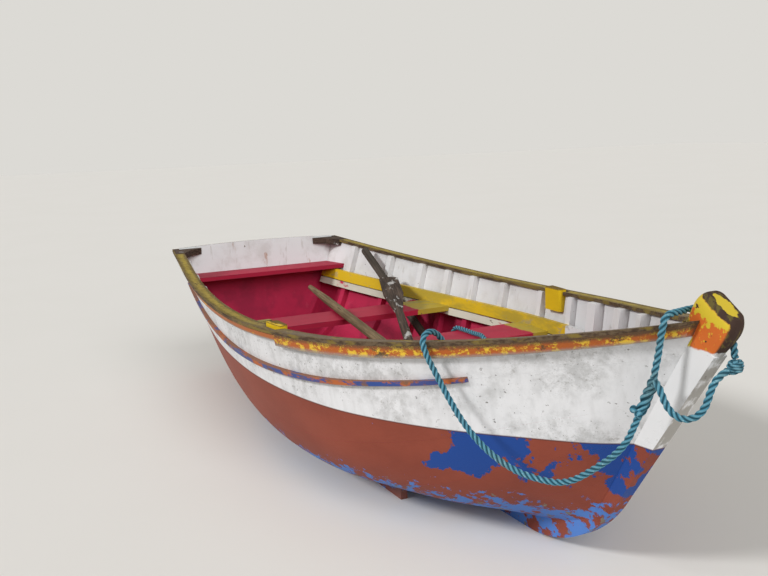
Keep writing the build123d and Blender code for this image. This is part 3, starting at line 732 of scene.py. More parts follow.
@dataclass(frozen=True)
class StemPaint:
    """Oil paint on the stem: yellow head in a worn dark ring, orange cheeks, white, then brown-red.

    It gives the eye the boat's brightest spot, rubbed to dark wood along the leading edge; that front
    face's dark is also painted shade.

    Attributes:
        lean: Angle by which the stem leans forward, in radians.
        head_place: Place of the head's middle on its top face, in metres.
        disc: Half length and half width of the yellow disc there.
        ring: Where the dark ring round the head begins, along the stem.
        high, aft: Where the orange turns yellow.
        low: Where the white begins.
    """

    lean: float = math.atan(0.70)
    head_place: Triple = (1.8636, 0.0, 0.933)
    disc: tuple[float, float] = (0.043, 0.021)
    ring: float = 1.817
    high: Beyond = Beyond((0.35, 0.0, 0.937), 1.475, 0.002, 0.03, 0.035)
    aft: Beyond = Beyond(AFT, -1.765, 0.002, 0.012)
    low: Beyond = Beyond(DOWN, -0.806, 0.003, 0.006, 0.04)
    yellow: str = "#CDB434"
    orange: str = "#C9672B"
    dark: str = "#40302A"
    olive: str = "#6E6530"
    white: str = "#D9D9DA"
    grey: str = "#A5A29D"
    scuff: str = "#77716B"
    hull: HullPaint = HullPaint()

    def disc_mask(self, surface: Surface) -> Socket:
        """Draws an ellipse across the head: (along / half length)^2 + (y / half width)^2 below 1.

        Args:
            surface: The finish that it is drawn in.

        Returns:
            Its mask, with a ragged edge.
        """
        tree = surface.tree
        places = {0: surface.place, 1: self.head_place}
        shifted = add_node(tree, "VectorMath", places, operation="SUBTRACT")[0]
        length, width = self.disc
        lengthwise = (math.cos(self.lean) / length, 0.0, -math.sin(self.lean) / length)
        along, side = (
            add_node(tree, "VectorMath", {0: shifted, 1: axis}, operation="DOT_PRODUCT")["Value"]
            for axis in (lengthwise, (0.0, 1 / width, 0.0))
        )
        pair = add_node(tree, "CombineXYZ", {0: along, 1: side})[0]
        far = add_node(tree, "VectorMath", {0: pair}, operation="LENGTH")["Value"]
        rough = Patches(0.02, 0.5, soft=0.3, detail=5.0, shift=4.0).mask(surface)
        far = add_node(tree, "Math", {0: rough, 1: 0.45, 2: far}, operation="MULTIPLY_ADD")[0]
        return surface.without(surface.past(far, 1.2, 0.05))

    def material(self) -> Material:
        """The finished material."""
        surface = Surface("worn_oil_paint_on_the_stem", self.dark, 0.7)
        cosine, sine = math.cos(self.lean), math.sin(self.lean)
        # The front face looks forward and down. Orange is kept off it, so it stays dark: worn wood and
        # painted shade.
        front = Facing((cosine, 0.0, -sine), 0.62, 0.12).mask(surface)
        crown = Facing((sine, 0.0, cosine), 0.8).mask(surface)
        cheeks = surface.without(surface.overlap(Overlap.EITHER, front, crown))
        surface.lay(self.olive, Patches(0.02, 0.35, (1, 1, 0.25), soft=0.05, detail=5.0), strength=0.6)
        ring = Beyond((sine, 0.0, cosine), self.ring, 0.003, 0.007, 0.04)
        painted = surface.overlap(Overlap.ONLY_FIRST, cheeks, ring)
        kept = Patches(0.05, 0.9, soft=0.02, shift=2.2).mask(surface)
        surface.lay(self.orange, painted, kept, roughness=0.45, thick=0.0004)
        surface.lay(self.yellow, painted, kept, self.high, roughness=0.4, thick=0.0003)
        surface.lay(self.yellow, painted, kept, self.aft, roughness=0.4)
        chips = Patches(0.025, 0.2, soft=0.02, detail=8.0, ragged=0.7, shift=5.1)
        surface.lay(self.yellow, painted, chips, roughness=0.5)
        surface.lay(self.yellow, crown, self.disc_mask(surface), roughness=0.4, thick=0.0004)
        surface.lay(self.dark, Patches(0.02, 0.05, shift=7.0), roughness=0.85, thick=-0.0005)
        below = self.low.mask(surface)
        surface.lay(self.white, below, roughness=0.5)
        # Grey in patches over most of the white front face is painted shade on that downward-looking face.
        worn = Patches(0.05, 0.7, (1, 1, 0.5), soft=0.06, detail=8.0, shift=3.7)
        surface.lay(self.grey, below, front, worn, roughness=0.8)
        scuffs = Patches(0.035, 0.08, (0.8, 1, 1), soft=0.03, detail=9.0, ragged=0.75, shift=6.4)
        surface.lay(self.scuff, below, scuffs, roughness=0.8, strength=0.8)
        self.hull.coats(surface, below, surface.without(self.hull.line))
        self.hull.inside.coats(surface, below, Facing((-cosine, 0.0, sine), 0.6, 0.1).mask(surface))
        return surface.finish()


@dataclass(frozen=True)
class WornWood:
    """Bare pine or spruce left out in sun and salt, silvered and cracked along the grain.

    It gives the eye long light and dark streaks, with traces of paint where there was any.

    Attributes:
        name: The material's name.
        light: Colour of the raised grain.
        dark: Colour between it.
        axis: Direction of the grain in the frame.
        traces: Colour of old paint, or None.
        traces_share: Share of the surface that it still covers.
        crack: Colour deep in the cracks.
        grain: Width of one streak, in metres; real ones are 1 to 2 mm and are drawn wider to show.
    """

    name: str
    light: str
    dark: str
    axis: Triple
    traces: Optional[str] = None
    traces_share: float = 0.12
    crack: str = "#1F1A16"
    grain: float = 0.008

    def material(self) -> Material:
        """The finished material."""
        surface = Surface(self.name, self.light, 0.75, self.axis)
        streaks = Patches(self.grain, 0.5, (0.03, 1, 1), soft=0.16, detail=5.0, ragged=0.7)
        streaks = streaks.mask(surface)
        surface.lay(self.dark, streaks, roughness=0.85)
        surface.emboss(surface.without(streaks), 0.0006)
        surface.lay(self.dark, Patches(0.14, 0.45, (0.35, 1, 1), soft=0.12, shift=2.0), strength=0.55)
        cracks = Patches(self.grain * 1.6, 0.035, (0.02, 1, 1), soft=0.02, detail=3.0, shift=5.0)
        surface.lay(self.crack, cracks, roughness=0.9, thick=-0.001)
        if self.traces:
            share = self.traces_share
            flecks = Patches(0.05, share, (0.3, 1, 1), soft=0.03, detail=7.0, ragged=0.68, shift=7.0)
            surface.lay(self.traces, flecks, roughness=0.6, thick=0.0002)
        return surface.finish()


@dataclass(frozen=True)
class LaidCord:
    """Three-strand polypropylene rope: bleaching and a painted highlight on the crowns of its strands, dirt
    and painted shade between them.

    It gives the eye teal strands with pale hairy ridges; the yarns are 1 mm and drawn 2.5 mm apart.
    The rope's UV map has the number of strands passed round it in U, and metres along it in V.

    Attributes:
        yarns: Number of yarns that show on one strand.
        yarn_slant: Turn of their pattern for each metre along the rope, in radians.
    """

    teal: str = "#3F7C94"
    pale: str = "#7FB0BC"
    fluff: str = "#A9CBD0"
    deep: str = "#1F4450"
    dirt: str = "#6B6A50"
    yarns: float = 8.0
    yarn_slant: float = 1500.0

    def material(self) -> Material:
        """The finished material."""
        surface = Surface("laid_polypropylene_rope", self.teal, 0.6)
        tree = surface.tree
        strand, along, _ = add_node(tree, "SeparateXYZ", {0: surface.lay_map})
        turn = add_node(tree, "Math", {0: strand, 1: 2 * math.pi}, operation="MULTIPLY")[0]
        crown = add_node(tree, "Math", {0: turn}, operation="COSINE")[0]
        yarn_turn = add_node(tree, "Math", {0: turn, 1: self.yarns}, operation="MULTIPLY")[0]
        slanted = {0: along, 1: self.yarn_slant, 2: yarn_turn}
        drift = add_node(tree, "Math", slanted, operation="MULTIPLY_ADD")[0]
        ridges = surface.past(add_node(tree, "Math", {0: drift}, operation="SINE")[0], 0.0, 0.9)
        surface.lay(self.dirt, Patches(0.09, 0.3, soft=0.1), strength=0.35)
        # Pale yarns on the strands' crowns: bleached fibres and a painted highlight.
        surface.lay(self.pale, surface.past(crown, 0.55, 0.45), ridges, strength=0.75, roughness=0.7)
        # Dark teal in the grooves between the strands: dirt and painted shade.
        surface.lay(self.deep, surface.without(surface.past(crown, -0.35, 0.45)), strength=0.9)
        surface.emboss(ridges, 0.0004)
        hairs = Patches(0.006, 0.12, soft=0.05, detail=3.0, shift=1.0)
        surface.lay(self.fluff, hairs, surface.past(crown, 0.2, 0.5), strength=0.5)
        return surface.finish()


def dress(material: Material, *names: str) -> None:
    """Gives CAD nodes a material and reports them.

    Args:
        material: The finish.
        names: Names of nodes, or of pairs without their "_port" and "_starboard".
    """
    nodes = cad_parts
    for name in names:
        for full_name in (name,) if name in nodes else (f"{name}_port", f"{name}_starboard"):
            node = nodes[full_name]
            if not node.material_slots:
                node.data.materials.append(material)
            for slot in node.material_slots:
                slot.material = material
            LOG.info("dressed %s in %s", full_name, material.name)


@dataclass
class DressedPieces:
    """Pieces of the frame, with a field of the same name for the finish of each."""

    def build(self) -> None:
        """Dresses every piece, in the order of the fields."""
        for piece in fields(self):
            finish: Finish = getattr(self, piece.name)
            dress(finish.material(), piece.name)


def put_in_scene(name: str, data: bpy.types.ID) -> bpy.types.Object:
    """Makes an object and links it to the scene.

    Args:
        name: Its name.
        data: Its mesh, lamp or camera.

    Returns:
        The object.
    """
    thing = bpy.data.objects.new(name, data)
    bpy.context.collection.objects.link(thing)
    return thing


@dataclass
class Studio:
    """Pale floor, two soft lamps, an even surround and the camera at the photograph's viewing angle.

    Attributes:
        camera_place: Where the camera stands, in metres.
        azimuth: Direction it looks in, from X towards Y, in degrees.
        elevation: How far it looks up, in degrees.
        roll: How far its right side is raised, in degrees.
        lens: Focal length for the sensor's width, both in millimetres.
        floor_half: Half the side of the floor, in metres.
        fill: Strength of the surround's light on the boat, where 1 shows the tone as written.
    """

    camera_place: Triple = (3.6151, -1.8465, 1.4128)
    azimuth: float = 153.8376
    elevation: float = -9.5883
    roll: float = -1.9627
    lens: float = 43.957
    sensor: float = 36.0
    floor_half: float = 40.0
    floor_tone: str = "#E6E4E0"
    floor_shade: str = "#E2E0DB"
    surround_tone: str = "#DCDAD5"
    fill: float = 0.435

    def camera(self) -> None:
        """Sets up the camera."""
        azimuth, elevation, roll = map(math.radians, (self.azimuth, self.elevation, self.roll))
        flat = math.cos(elevation)
        ahead = Vector((flat * math.cos(azimuth), flat * math.sin(azimuth), math.sin(elevation)))
        level = ahead.cross(Vector(UP)).normalized()
        upright = level.cross(ahead)
        right = math.cos(roll) * level + math.sin(roll) * upright
        above = math.cos(roll) * upright - math.sin(roll) * level
        data = bpy.data.cameras.new("camera")
        data.sensor_fit = "HORIZONTAL"
        data.sensor_width = self.sensor
        data.lens = self.lens
        camera = put_in_scene("camera", data)
        turn = Matrix((right, above, -ahead)).transposed().to_4x4()
        camera.matrix_world = Matrix.Translation(self.camera_place) @ turn
        bpy.context.scene.camera = camera

    def lamp(self, name: str, towards: Triple, power: float, spread: float) -> None:
        """Sets up one far soft lamp.

        Args:
            name: The lamp's name.
            towards: Direction in which its light travels.
            power: Its light on a surface square to it, in watts per square metre.
            spread: Its width as seen from the boat, in degrees.
        """
        data = bpy.data.lights.new(name, "SUN")
        data.energy = power
        data.angle = math.radians(spread)
        put_in_scene(name, data).rotation_euler = Vector(towards).to_track_quat("-Z", "Y").to_euler()

    def surround(self) -> None:
        """Lights the scene evenly, with a white ground where the camera or a reflection sees it."""
        world = bpy.data.worlds.new("studio")
        world.use_nodes = True
        tree = world.node_tree
        tree.nodes.clear()
        path = add_node(tree, "LightPath")
        seen = path["Is Camera Ray"]
        for name in ("Is Glossy Ray", "Is Transmission Ray"):
            seen = add_node(tree, "Math", {0: seen, 1: path[name]}, operation="MAXIMUM")[0]
        strength = add_node(tree, "Mix", {0: seen, 2: self.fill, 3: 1.0}, data_type="FLOAT")[0]
        light = add_node(tree, "Background", {"Color": linear(self.surround_tone), "Strength": strength})[0]
        add_node(tree, "OutputWorld", {"Surface": light})
        bpy.context.scene.world = world

    def floor(self) -> None:
        """Builds the floor, a square of plain matt card."""
        h = self.floor_half
        mesh = bpy.data.meshes.new("floor")
        mesh.from_pydata([(-h, -h, 0.0), (h, -h, 0.0), (h, h, 0.0), (-h, h, 0.0)], [], [(0, 1, 2, 3)])
        surface = Surface("matt_card", self.floor_tone, 0.9)
        surface.lay(self.floor_shade, Patches(1.2, 0.4, soft=0.2, detail=3.0), strength=0.25)
        mesh.materials.append(surface.finish())
        put_in_scene("floor", mesh)

    def build(self) -> None:
        """Builds the whole studio."""
        self.camera()
        self.lamp("key_lamp", (0.08, 0.86, -0.55), 1.9, 12.0)
        self.lamp("front_lamp", (-0.85, 0.12, -0.5), 1.7, 40.0)
        self.surround()
        self.floor()
        bpy.context.scene.view_settings.view_transform = "Standard"
        LOG.info("studio ready")


def running_length(points: np.ndarray) -> np.ndarray:
    """Distance along the line at each of its points."""
    return np.concatenate([[0.0], np.cumsum(np.linalg.norm(np.diff(points, axis=0), axis=1))])


def spline_points(name: str, route: Sequence[Triple], spacing: float) -> np.ndarray:
    """Evenly spaced points along the smooth line that a route's points control.

    Args:
        name: Name of the curve while it is read.
        route: Control points in metres.
        spacing: Wanted distance between the points, in metres.

    Returns:
        Points as an array of N rows of X, Y and Z.
    """
    data = bpy.data.curves.new(name, "CURVE")
    data.dimensions = "3D"
    data.resolution_u = CURVE_STEPS
    spline = data.splines.new("NURBS")
    spline.points.add(len(route) - 1)
    spline.points.foreach_set("co", np.hstack([np.array(route), np.ones((len(route), 1))]).ravel())
    spline.order_u = 3
    spline.use_endpoint_u = True
    holder = bpy.data.objects.new(name, data)
    mesh = bpy.data.meshes.new_from_object(holder)
    points = np.empty(len(mesh.vertices) * 3)
    mesh.vertices.foreach_get("co", points)
    bpy.data.meshes.remove(mesh)
    bpy.data.objects.remove(holder)
    bpy.data.curves.remove(data)
    points = points.reshape(-1, 3)
    steps = np.linalg.norm(np.diff(points, axis=0), axis=1)
    points = points[np.concatenate([[True], steps > SAME_POINT])]
    run = running_length(points)
    even = np.linspace(0.0, run[-1], max(int(round(run[-1] / spacing)), 2) + 1)
    return np.column_stack([np.interp(even, run, points[:, axis]) for axis in range(3)])


def steady_frames(points: np.ndarray) -> tuple[np.ndarray, np.ndarray]:
    """Two directions across a line at each point, that turn as little as they can along it.

    The first direction is a fixed vector flattened against the tangent: of many spread over a ball,
    the one that stays farthest from it. The angle by which that would turn from point to point is
    added up and taken out again.

    Args:
        points: The line as N rows of X, Y and Z.

    Returns:
        Two arrays of N unit vectors, square to the line and to each other.
    """
    tangent = np.gradient(points, axis=0)
    tangent /= np.linalg.norm(tangent, axis=1, keepdims=True)
    spiral = np.arange(DIRECTIONS) + 0.5
    height = 1 - 2 * spiral / DIRECTIONS
    turn = spiral * math.pi * (1 + math.sqrt(5))
    wide = np.sqrt(1 - height**2)
    choices = np.column_stack([wide * np.cos(turn), wide * np.sin(turn), height])
    fixed = choices[np.argmin(np.abs(choices @ tangent.T).max(axis=1))]
    side = fixed - (tangent @ fixed)[:, None] * tangent
    side /= np.linalg.norm(side, axis=1, keepdims=True)
    other = np.cross(tangent, side)
    carried = side[:-1] - np.sum(side[:-1] * tangent[1:], axis=1, keepdims=True) * tangent[1:]
    step = np.arctan2(np.sum(carried * other[1:], axis=1), np.sum(carried * side[1:], axis=1))
    angle = np.concatenate([[0.0], np.cumsum(step)])[:, None]
    return np.cos(angle) * side + np.sin(angle) * other, np.cos(angle) * other - np.sin(angle) * side


class Tube(NamedTuple):
    """Surface of one rope or strand.

    Attributes:
        vertices: Rows of X, Y and Z.
        quads: Rows of four indices.
        fans: Rows of three indices, the triangles that close both ends.
        uv: UV of each quad's four corners.
    """

    vertices: np.ndarray
    quads: np.ndarray
    fans: np.ndarray
    uv: np.ndarray


@dataclass(frozen=True)
class Lay:
    """Section of a laid rope, carried along its line while it turns.

    Seen end on, the strands are circles round the middle, and the outline is what shows of them:
    r(a) = o cos(a) + sqrt(s^2 - o^2 sin^2(a)), with a the angle from the nearest strand's middle,
    s the strand's radius and o how far its middle lies out.

    Attributes:
        strands: Number of strands.
        strand_radius: Radius of one strand, in metres.
        offset: Distance of its middle from the rope's, in metres.
        pitch: Length of one whole turn of a strand, in metres.
        around: Points round the rope.
        dome: Length over which each end closes like a dome, in metres.
        least_dome: Square of the least share of the radius there.
    """

    strands: int = 3
    strand_radius: float = 0.0053
    offset: float = 0.0049
    pitch: float = 0.062
    around: int = 24
    dome: float = 0.006
    least_dome: float = 0.02

    def tube(self, points: np.ndarray, girth: Union[np.ndarray, float] = 1.0) -> Tube:
        """Surface of the rope along a line.

        Args:
            points: The line as N rows.
            girth: Factor on the section's radius, at each point or everywhere.

        Returns:
            The surface, closed at both ends.
        """
        run = running_length(points)
        side, other = steady_frames(points)
        angle = 2 * math.pi * np.arange(self.around + 1) / self.around
        phase = angle[None, :] - 2 * math.pi * run[:, None] / self.pitch
        share = 2 * math.pi / self.strands
        near = (phase + share / 2) % share - share / 2
        across = self.offset * np.sin(near)
        radius = self.offset * np.cos(near) + np.sqrt(self.strand_radius**2 - across**2)
        to_end = np.minimum(run, run[-1] - run)
        dome = np.sqrt(np.clip(1 - (1 - np.clip(to_end / self.dome, 0, 1)) ** 2, self.least_dome, 1))
        radius = radius * (girth * dome)[:, None]
        cosine, sine = np.cos(angle)[None, :, None], np.sin(angle)[None, :, None]
        out = cosine * side[:, None, :] + sine * other[:, None, :]
        rings = points[:, None, :] + radius[:, :, None] * out
        vertices = np.vstack([rings[:, :-1].reshape(-1, 3), points[:1], points[-1:]])
        row, column = np.meshgrid(np.arange(len(points) - 1), np.arange(self.around), indexing="ij")
        after = (column + 1) % self.around
        here, beyond = row * self.around, (row + 1) * self.around
        quads = np.stack([here + column, here + after, beyond + after, beyond + column], axis=-1)
        first = np.arange(self.around)
        last = first + (len(points) - 1) * self.around
        middle = np.full(self.around, len(points) * self.around)
        fans = [(np.roll(first, -1), first, middle), (last, np.roll(last, -1), middle + 1)]
        u = self.strands * phase / (2 * math.pi)
        grid = np.stack([u, np.broadcast_to(run[:, None], u.shape)], axis=-1)
        uv = np.stack([grid[:-1, :-1], grid[:-1, 1:], grid[1:, 1:], grid[1:, :-1]], axis=2)
        fan_rows = np.vstack([np.column_stack(fan) for fan in fans])
        return Tube(vertices, quads.reshape(-1, 4), fan_rows, uv.reshape(-1, 2))


@dataclass
class Painter:
    """The rope at the bow: an eye over the stem head, its splice and knot, and the rope itself.

    The routes are in the frame's metres. The painter starts in the splice, hangs beside the bow,
    goes over the gunwale and the forward thwart, and ends on the floor boards.

    Attributes:
        spacing: Distance between the points of a line, in metres.
        splice_pitch: Length of one turn of the splice's strands, in metres.
        splice_radii: Share of the splice's length, radius of the winding, factor on the girth.
        tuck, tuck_height: Distance from tuck to tuck, and how far each stands out, in metres.
        tuck_swell, tuck_shift: Share by which a strand swells there, and turn from strand to strand.
        knob_ends, knob_points: Where a melted strand end starts and stops, and its points.
        knob_lean: How far its line runs out from the splice and along it.
        knot_radius, knot_swell: Radius of the knot's winding, and height at which it would vanish.
        knot_tilt, knot_phase: How far each turn of it rises and falls, and where in the turn.
    """

    diameter: float = 0.020
    spacing: float = 0.003
    lay: Lay = Lay()
    finish: LaidCord = LaidCord()
    material: Material = field(init=False)
    route: Route = (
        (1.728, -0.114, 0.722), (1.719, -0.120, 0.690), (1.705, -0.129, 0.650), (1.693, -0.137, 0.611),
        (1.660, -0.156, 0.515), (1.587, -0.198, 0.439), (1.509, -0.243, 0.375), (1.425, -0.291, 0.374),
        (1.352, -0.333, 0.392), (1.276, -0.377, 0.442), (1.214, -0.413, 0.514), (1.172, -0.440, 0.591),
        (1.140, -0.462, 0.660), (1.116, -0.480, 0.715), (1.105, -0.489, 0.757), (1.089, -0.464, 0.781),
        (1.071, -0.425, 0.776), (1.062, -0.394, 0.748), (1.062, -0.365, 0.695), (1.056, -0.320, 0.600),
        (1.026, -0.255, 0.490), (0.946, -0.170, 0.395), (0.826, -0.060, 0.340), (0.686, 0.050, 0.345),
        (0.546, 0.140, 0.385), (0.426, 0.205, 0.440), (0.332, 0.245, 0.490), (0.268, 0.266, 0.526),
        (0.176, 0.281, 0.516), (0.081, 0.281, 0.518), (-0.006, 0.276, 0.518), (-0.012, 0.269, 0.410),
        (-0.020, 0.260, 0.300), (-0.042, 0.240, 0.200), (-0.104, 0.205, 0.138), (-0.204, 0.168, 0.131),
        (-0.334, 0.150, 0.131), (-0.474, 0.160, 0.135), (-0.614, 0.186, 0.145),
    )
    upper_route: Route = (
        (1.726, -0.117, 0.706), (1.730, -0.117, 0.736), (1.738, -0.111, 0.788), (1.744, -0.109, 0.838),
        (1.751, -0.109, 0.868), (1.755, -0.107, 0.893), (1.754, -0.088, 0.904), (1.748, -0.060, 0.903),
        (1.738, -0.030, 0.902), (1.733, 0.000, 0.903), (1.737, 0.030, 0.904), (1.748, 0.060, 0.907),
        (1.766, 0.081, 0.906), (1.783, 0.088, 0.887), (1.806, 0.078, 0.866), (1.838, 0.056, 0.836),
        (1.877, 0.024, 0.790),
    )
    lower_route: Route = (
        (1.884, -0.005, 0.766), (1.878, -0.036, 0.750), (1.874, -0.054, 0.722), (1.869, -0.060, 0.690),
        (1.860, -0.066, 0.660), (1.842, -0.078, 0.636), (1.815, -0.096, 0.628), (1.792, -0.112, 0.643),
        (1.776, -0.122, 0.671), (1.766, -0.128, 0.702), (1.744, -0.124, 0.722), (1.731, -0.119, 0.706),
    )
    splice_route: Route = (
        (1.693, -0.137, 0.611), (1.705, -0.129, 0.650), (1.719, -0.120, 0.690), (1.731, -0.114, 0.730),
    )
    splice_knobs: Route = ((1.687, -0.150, 0.633), (1.703, -0.146, 0.621))
    splice_lay: Lay = Lay(3, 0.0060, 0.0014, 0.4, 20, 0.012)
    knob_lay: Lay = Lay(3, 0.0100, 0.0020, 0.2, 24, 0.0115)
    splice_pitch: float = 0.072
    splice_radii: tuple[Triple, ...] = (
        (0.0, 0.0040, 0.6), (0.14, 0.0088, 1.0), (0.5, 0.0094, 1.0), (0.86, 0.0088, 1.0), (1.0, 0.0040, 0.6)
    )
    tuck: float = 0.031
    tuck_height: float = 0.0007
    tuck_swell: float = 0.08
    tuck_shift: float = 2.1
    knob_ends: tuple[float, float] = (-0.012, 0.011)
    knob_points: int = 12
    knob_lean: tuple[float, float] = (0.9, -0.3)
    knot_place: Triple = (1.884, 0.017, 0.770)
    knot_lay: Lay = Lay(2, 0.0042, 0.0016, 0.04, 16, 0.004)
    knot_points: int = 180
    knot_turns: float = 3.6
    knot_half_height: float = 0.0155
    knot_radius: float = 0.0172
    knot_swell: float = 0.024
    knot_tilt: float = 0.0035
    knot_phase: float = 0.6
    core_lay: Lay = Lay(3, 0.0085, 0.0060, 0.05, 24, 0.014)
    core_points: int = 16
    core_half_length: float = 0.021
    core_axis: Triple = (0.25, 0.1, 0.96)

    def piece(self, name: str, stands_for: str, *tubes: Tube) -> bpy.types.Object:
        """Makes one object of some tubes, at the origin and riding on the boat.

        Args:
            name: Its name.
            stands_for: The CAD node that it replaces.
            tubes: The tubes.

        Returns:
            The object.
        """
        starts = np.cumsum([0] + [len(tube.vertices) for tube in tubes])
        vertices = np.vstack([tube.vertices for tube in tubes])
        quads = np.vstack([tube.quads + start for tube, start in zip(tubes, starts)])
        fans = np.vstack([tube.fans + start for tube, start in zip(tubes, starts)])
        mesh = bpy.data.meshes.new(name)
        mesh.from_pydata(vertices, [], quads.tolist() + fans.tolist())
        uv = np.vstack([*(tube.uv for tube in tubes), np.zeros((fans.size, 2))])
        mesh.uv_layers.new(name="lay").data.foreach_set("uv", uv.ravel())
        mesh.shade_smooth()
        mesh.validate()
        mesh.materials.append(self.material)
        piece = put_in_scene(name, mesh)
        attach(piece, BODY)
        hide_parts(stands_for)
        LOG.info("built %s with %d faces", name, len(mesh.polygons))
        return piece

    def splice(self) -> bpy.types.Object:
        """Builds the splice: three fat strands tucked round the rope and two melted ends beside it.

        Each strand winds at the radius R(s) + w cos(2 pi s / T), with R tapering to both ends of
        the splice, w the height of a tuck and T the distance between tucks. The rows of
        splice_radii have the share of the splice's length, R, and the factor on the girth.

        Returns:
            The splice.
        """
        points = spline_points("splice_line", self.splice_route, self.spacing)
        run = running_length(points)
        shares, radii, girths = zip(*self.splice_radii)
        radius, taper = (np.interp(run / run[-1], shares, column) for column in (radii, girths))
        side, other = steady_frames(points)
        tubes = []
        for index in range(3):
            wave = np.cos(2 * math.pi * run / self.tuck + self.tuck_shift * index)
            angle = (2 * math.pi * run / self.splice_pitch + 2 * math.pi * index / 3)[:, None]
            around = np.cos(angle) * side + np.sin(angle) * other
            line = points + (radius + self.tuck_height * wave)[:, None] * around
            tubes.append(self.splice_lay.tube(line, taper * (1 + self.tuck_swell * wave)))
        tubes += [self.knob_lay.tube(self.knob_line(np.array(place))) for place in self.splice_knobs]
        return self.piece("painter_splice_strands", "painter_splice", *tubes)

    def knob_line(self, place: np.ndarray) -> np.ndarray:
        """Draws a short line through a strand end, out from the splice and a little back along it.

        Args:
            place: Middle of the strand end.

        Returns:
            Points of the line as rows.
        """
        foot, head = np.array(self.splice_route[0]), np.array(self.splice_route[-1])
        axis = (head - foot) / np.linalg.norm(head - foot)
        middle = foot + axis * np.dot(place - foot, axis)
        out = (place - middle) / np.linalg.norm(place - middle)
        outward, along = self.knob_lean
        reach = np.linspace(*self.knob_ends, self.knob_points)[:, None]
        return place + reach * (outward * out + along * axis)

    def knot(self) -> bpy.types.Object:
        """Builds the knot: single strands wound round a short core.

        The winding is a helix whose radius swells at mid height: R(h) = R0 sqrt(1 - (h / H)^2),
        with H as knot_swell. Each turn is tilted by a sine wave.

        Returns:
            The knot.
        """
        centre = np.array(self.knot_place)
        half_turn = self.knot_turns * math.pi
        turn = np.linspace(-half_turn, half_turn, self.knot_points)
        height = self.knot_half_height * turn / half_turn
        wide = self.knot_radius * np.sqrt(1 - (height / self.knot_swell) ** 2)
        tilt = self.knot_tilt * np.sin(turn + self.knot_phase)
        winding = centre + np.column_stack([wide * np.cos(turn), wide * np.sin(turn), height + tilt])
        half = self.core_half_length
        core = centre + np.outer(np.linspace(-half, half, self.core_points), self.core_axis)
        tubes = (self.knot_lay.tube(winding), self.core_lay.tube(core))
        return self.piece("painter_knot_turns", "painter_knot", *tubes)

    def build(self) -> None:
        self.material = self.finish.material()
        splice = self.splice()
        knot = self.knot()
        for name, stands_for, route, end, lay, others in (
            ("painter_rope", "painter", self.route, "bare", "loose", [splice]),
            ("painter_eye_upper", "painter_eye", self.upper_route, "knot", "hanging", [knot]),
            ("painter_eye_lower", "painter_eye", self.lower_route, "object", "hanging", []),
        ):
            line = spline_points(name, route, self.spacing)
            self.piece(name, stands_for, self.lay.tube(line))


@dataclass
class Planking:
    """The planks, outside and in, with the keel, stem, transom and bilge runners."""

    strakes: tuple[str, ...] = ("garboard", "bottom", "bilge", "topside", "sheer")
    paint: HullPaint = HullPaint()
    stem: StemPaint = StemPaint()
    # Its white is a lighter copy of the inside white elsewhere: a painted highlight for the light on the
    # transom's inner face.
    transom_inside: InsidePaint = InsidePaint(white="#E6EAEC", line=PaintedLine(base=0.60, start=-1.9))
    transom_aft: Triple = (-0.996, 0.0, -0.086)
    old_edge: str = "#4B3B2E"
    scraped: str = "#857A6C"
    runners: ChippedPaint = ChippedPaint(
        "scraped_oil_paint_on_the_runners", "#854A3F", "#4F7FC0", "#857A6C",
        flakes=Patches(0.07, 0.35, (0.5, 1, 1), shift=2.0),
        bare=Patches(0.06, 0.25, (0.4, 1, 1), shift=5.0),
    )

    def transom_paint(self) -> Material:
        """Mixes the transom's paint: hull colours on its after face, white over crimson on the other.

        Returns:
            The finished material.
        """
        surface = Surface("brushed_oil_paint_on_the_transom", self.paint.bare, 0.8)
        after = Facing(self.transom_aft, 0.3).mask(surface)
        self.paint.coats(surface, after)
        self.transom_inside.coats(surface, surface.without(after))
        worn = Patches(0.04, 0.8, soft=0.03, shift=2.0)
        surface.lay(self.old_edge, Facing(UP, 0.6), worn, roughness=0.85)
        return brushed(surface)

    def keel_paint(self) -> Material:
        """Mixes the keel's paint: scraped bottom colours below, crimson on the face inside the boat.

        Returns:
            The finished material.
        """
        surface = Surface("scraped_oil_paint_on_the_keel", self.paint.bare, 0.85)
        inside = Facing(UP, 0.5).mask(surface)
        self.paint.coats(surface, surface.without(inside))
        self.paint.inside.coats(surface, inside)
        scrapes = Patches(0.06, 0.3, (0.4, 1, 1), soft=0.04, shift=5.0)
        surface.lay(self.scraped, WornEdge(0.008, DOWN), scrapes, roughness=0.85)
        return brushed(surface)

    def build(self) -> None:
        """Dresses every plank and the backbone."""
        dress(self.paint.material(), *(f"{strake}_strake" for strake in self.strakes))
        dress(self.stem.material(), "stem_post")
        dress(self.transom_paint(), "transom")
        dress(self.runners.material(), "bilge_runner")
        dress(self.keel_paint(), "keel")


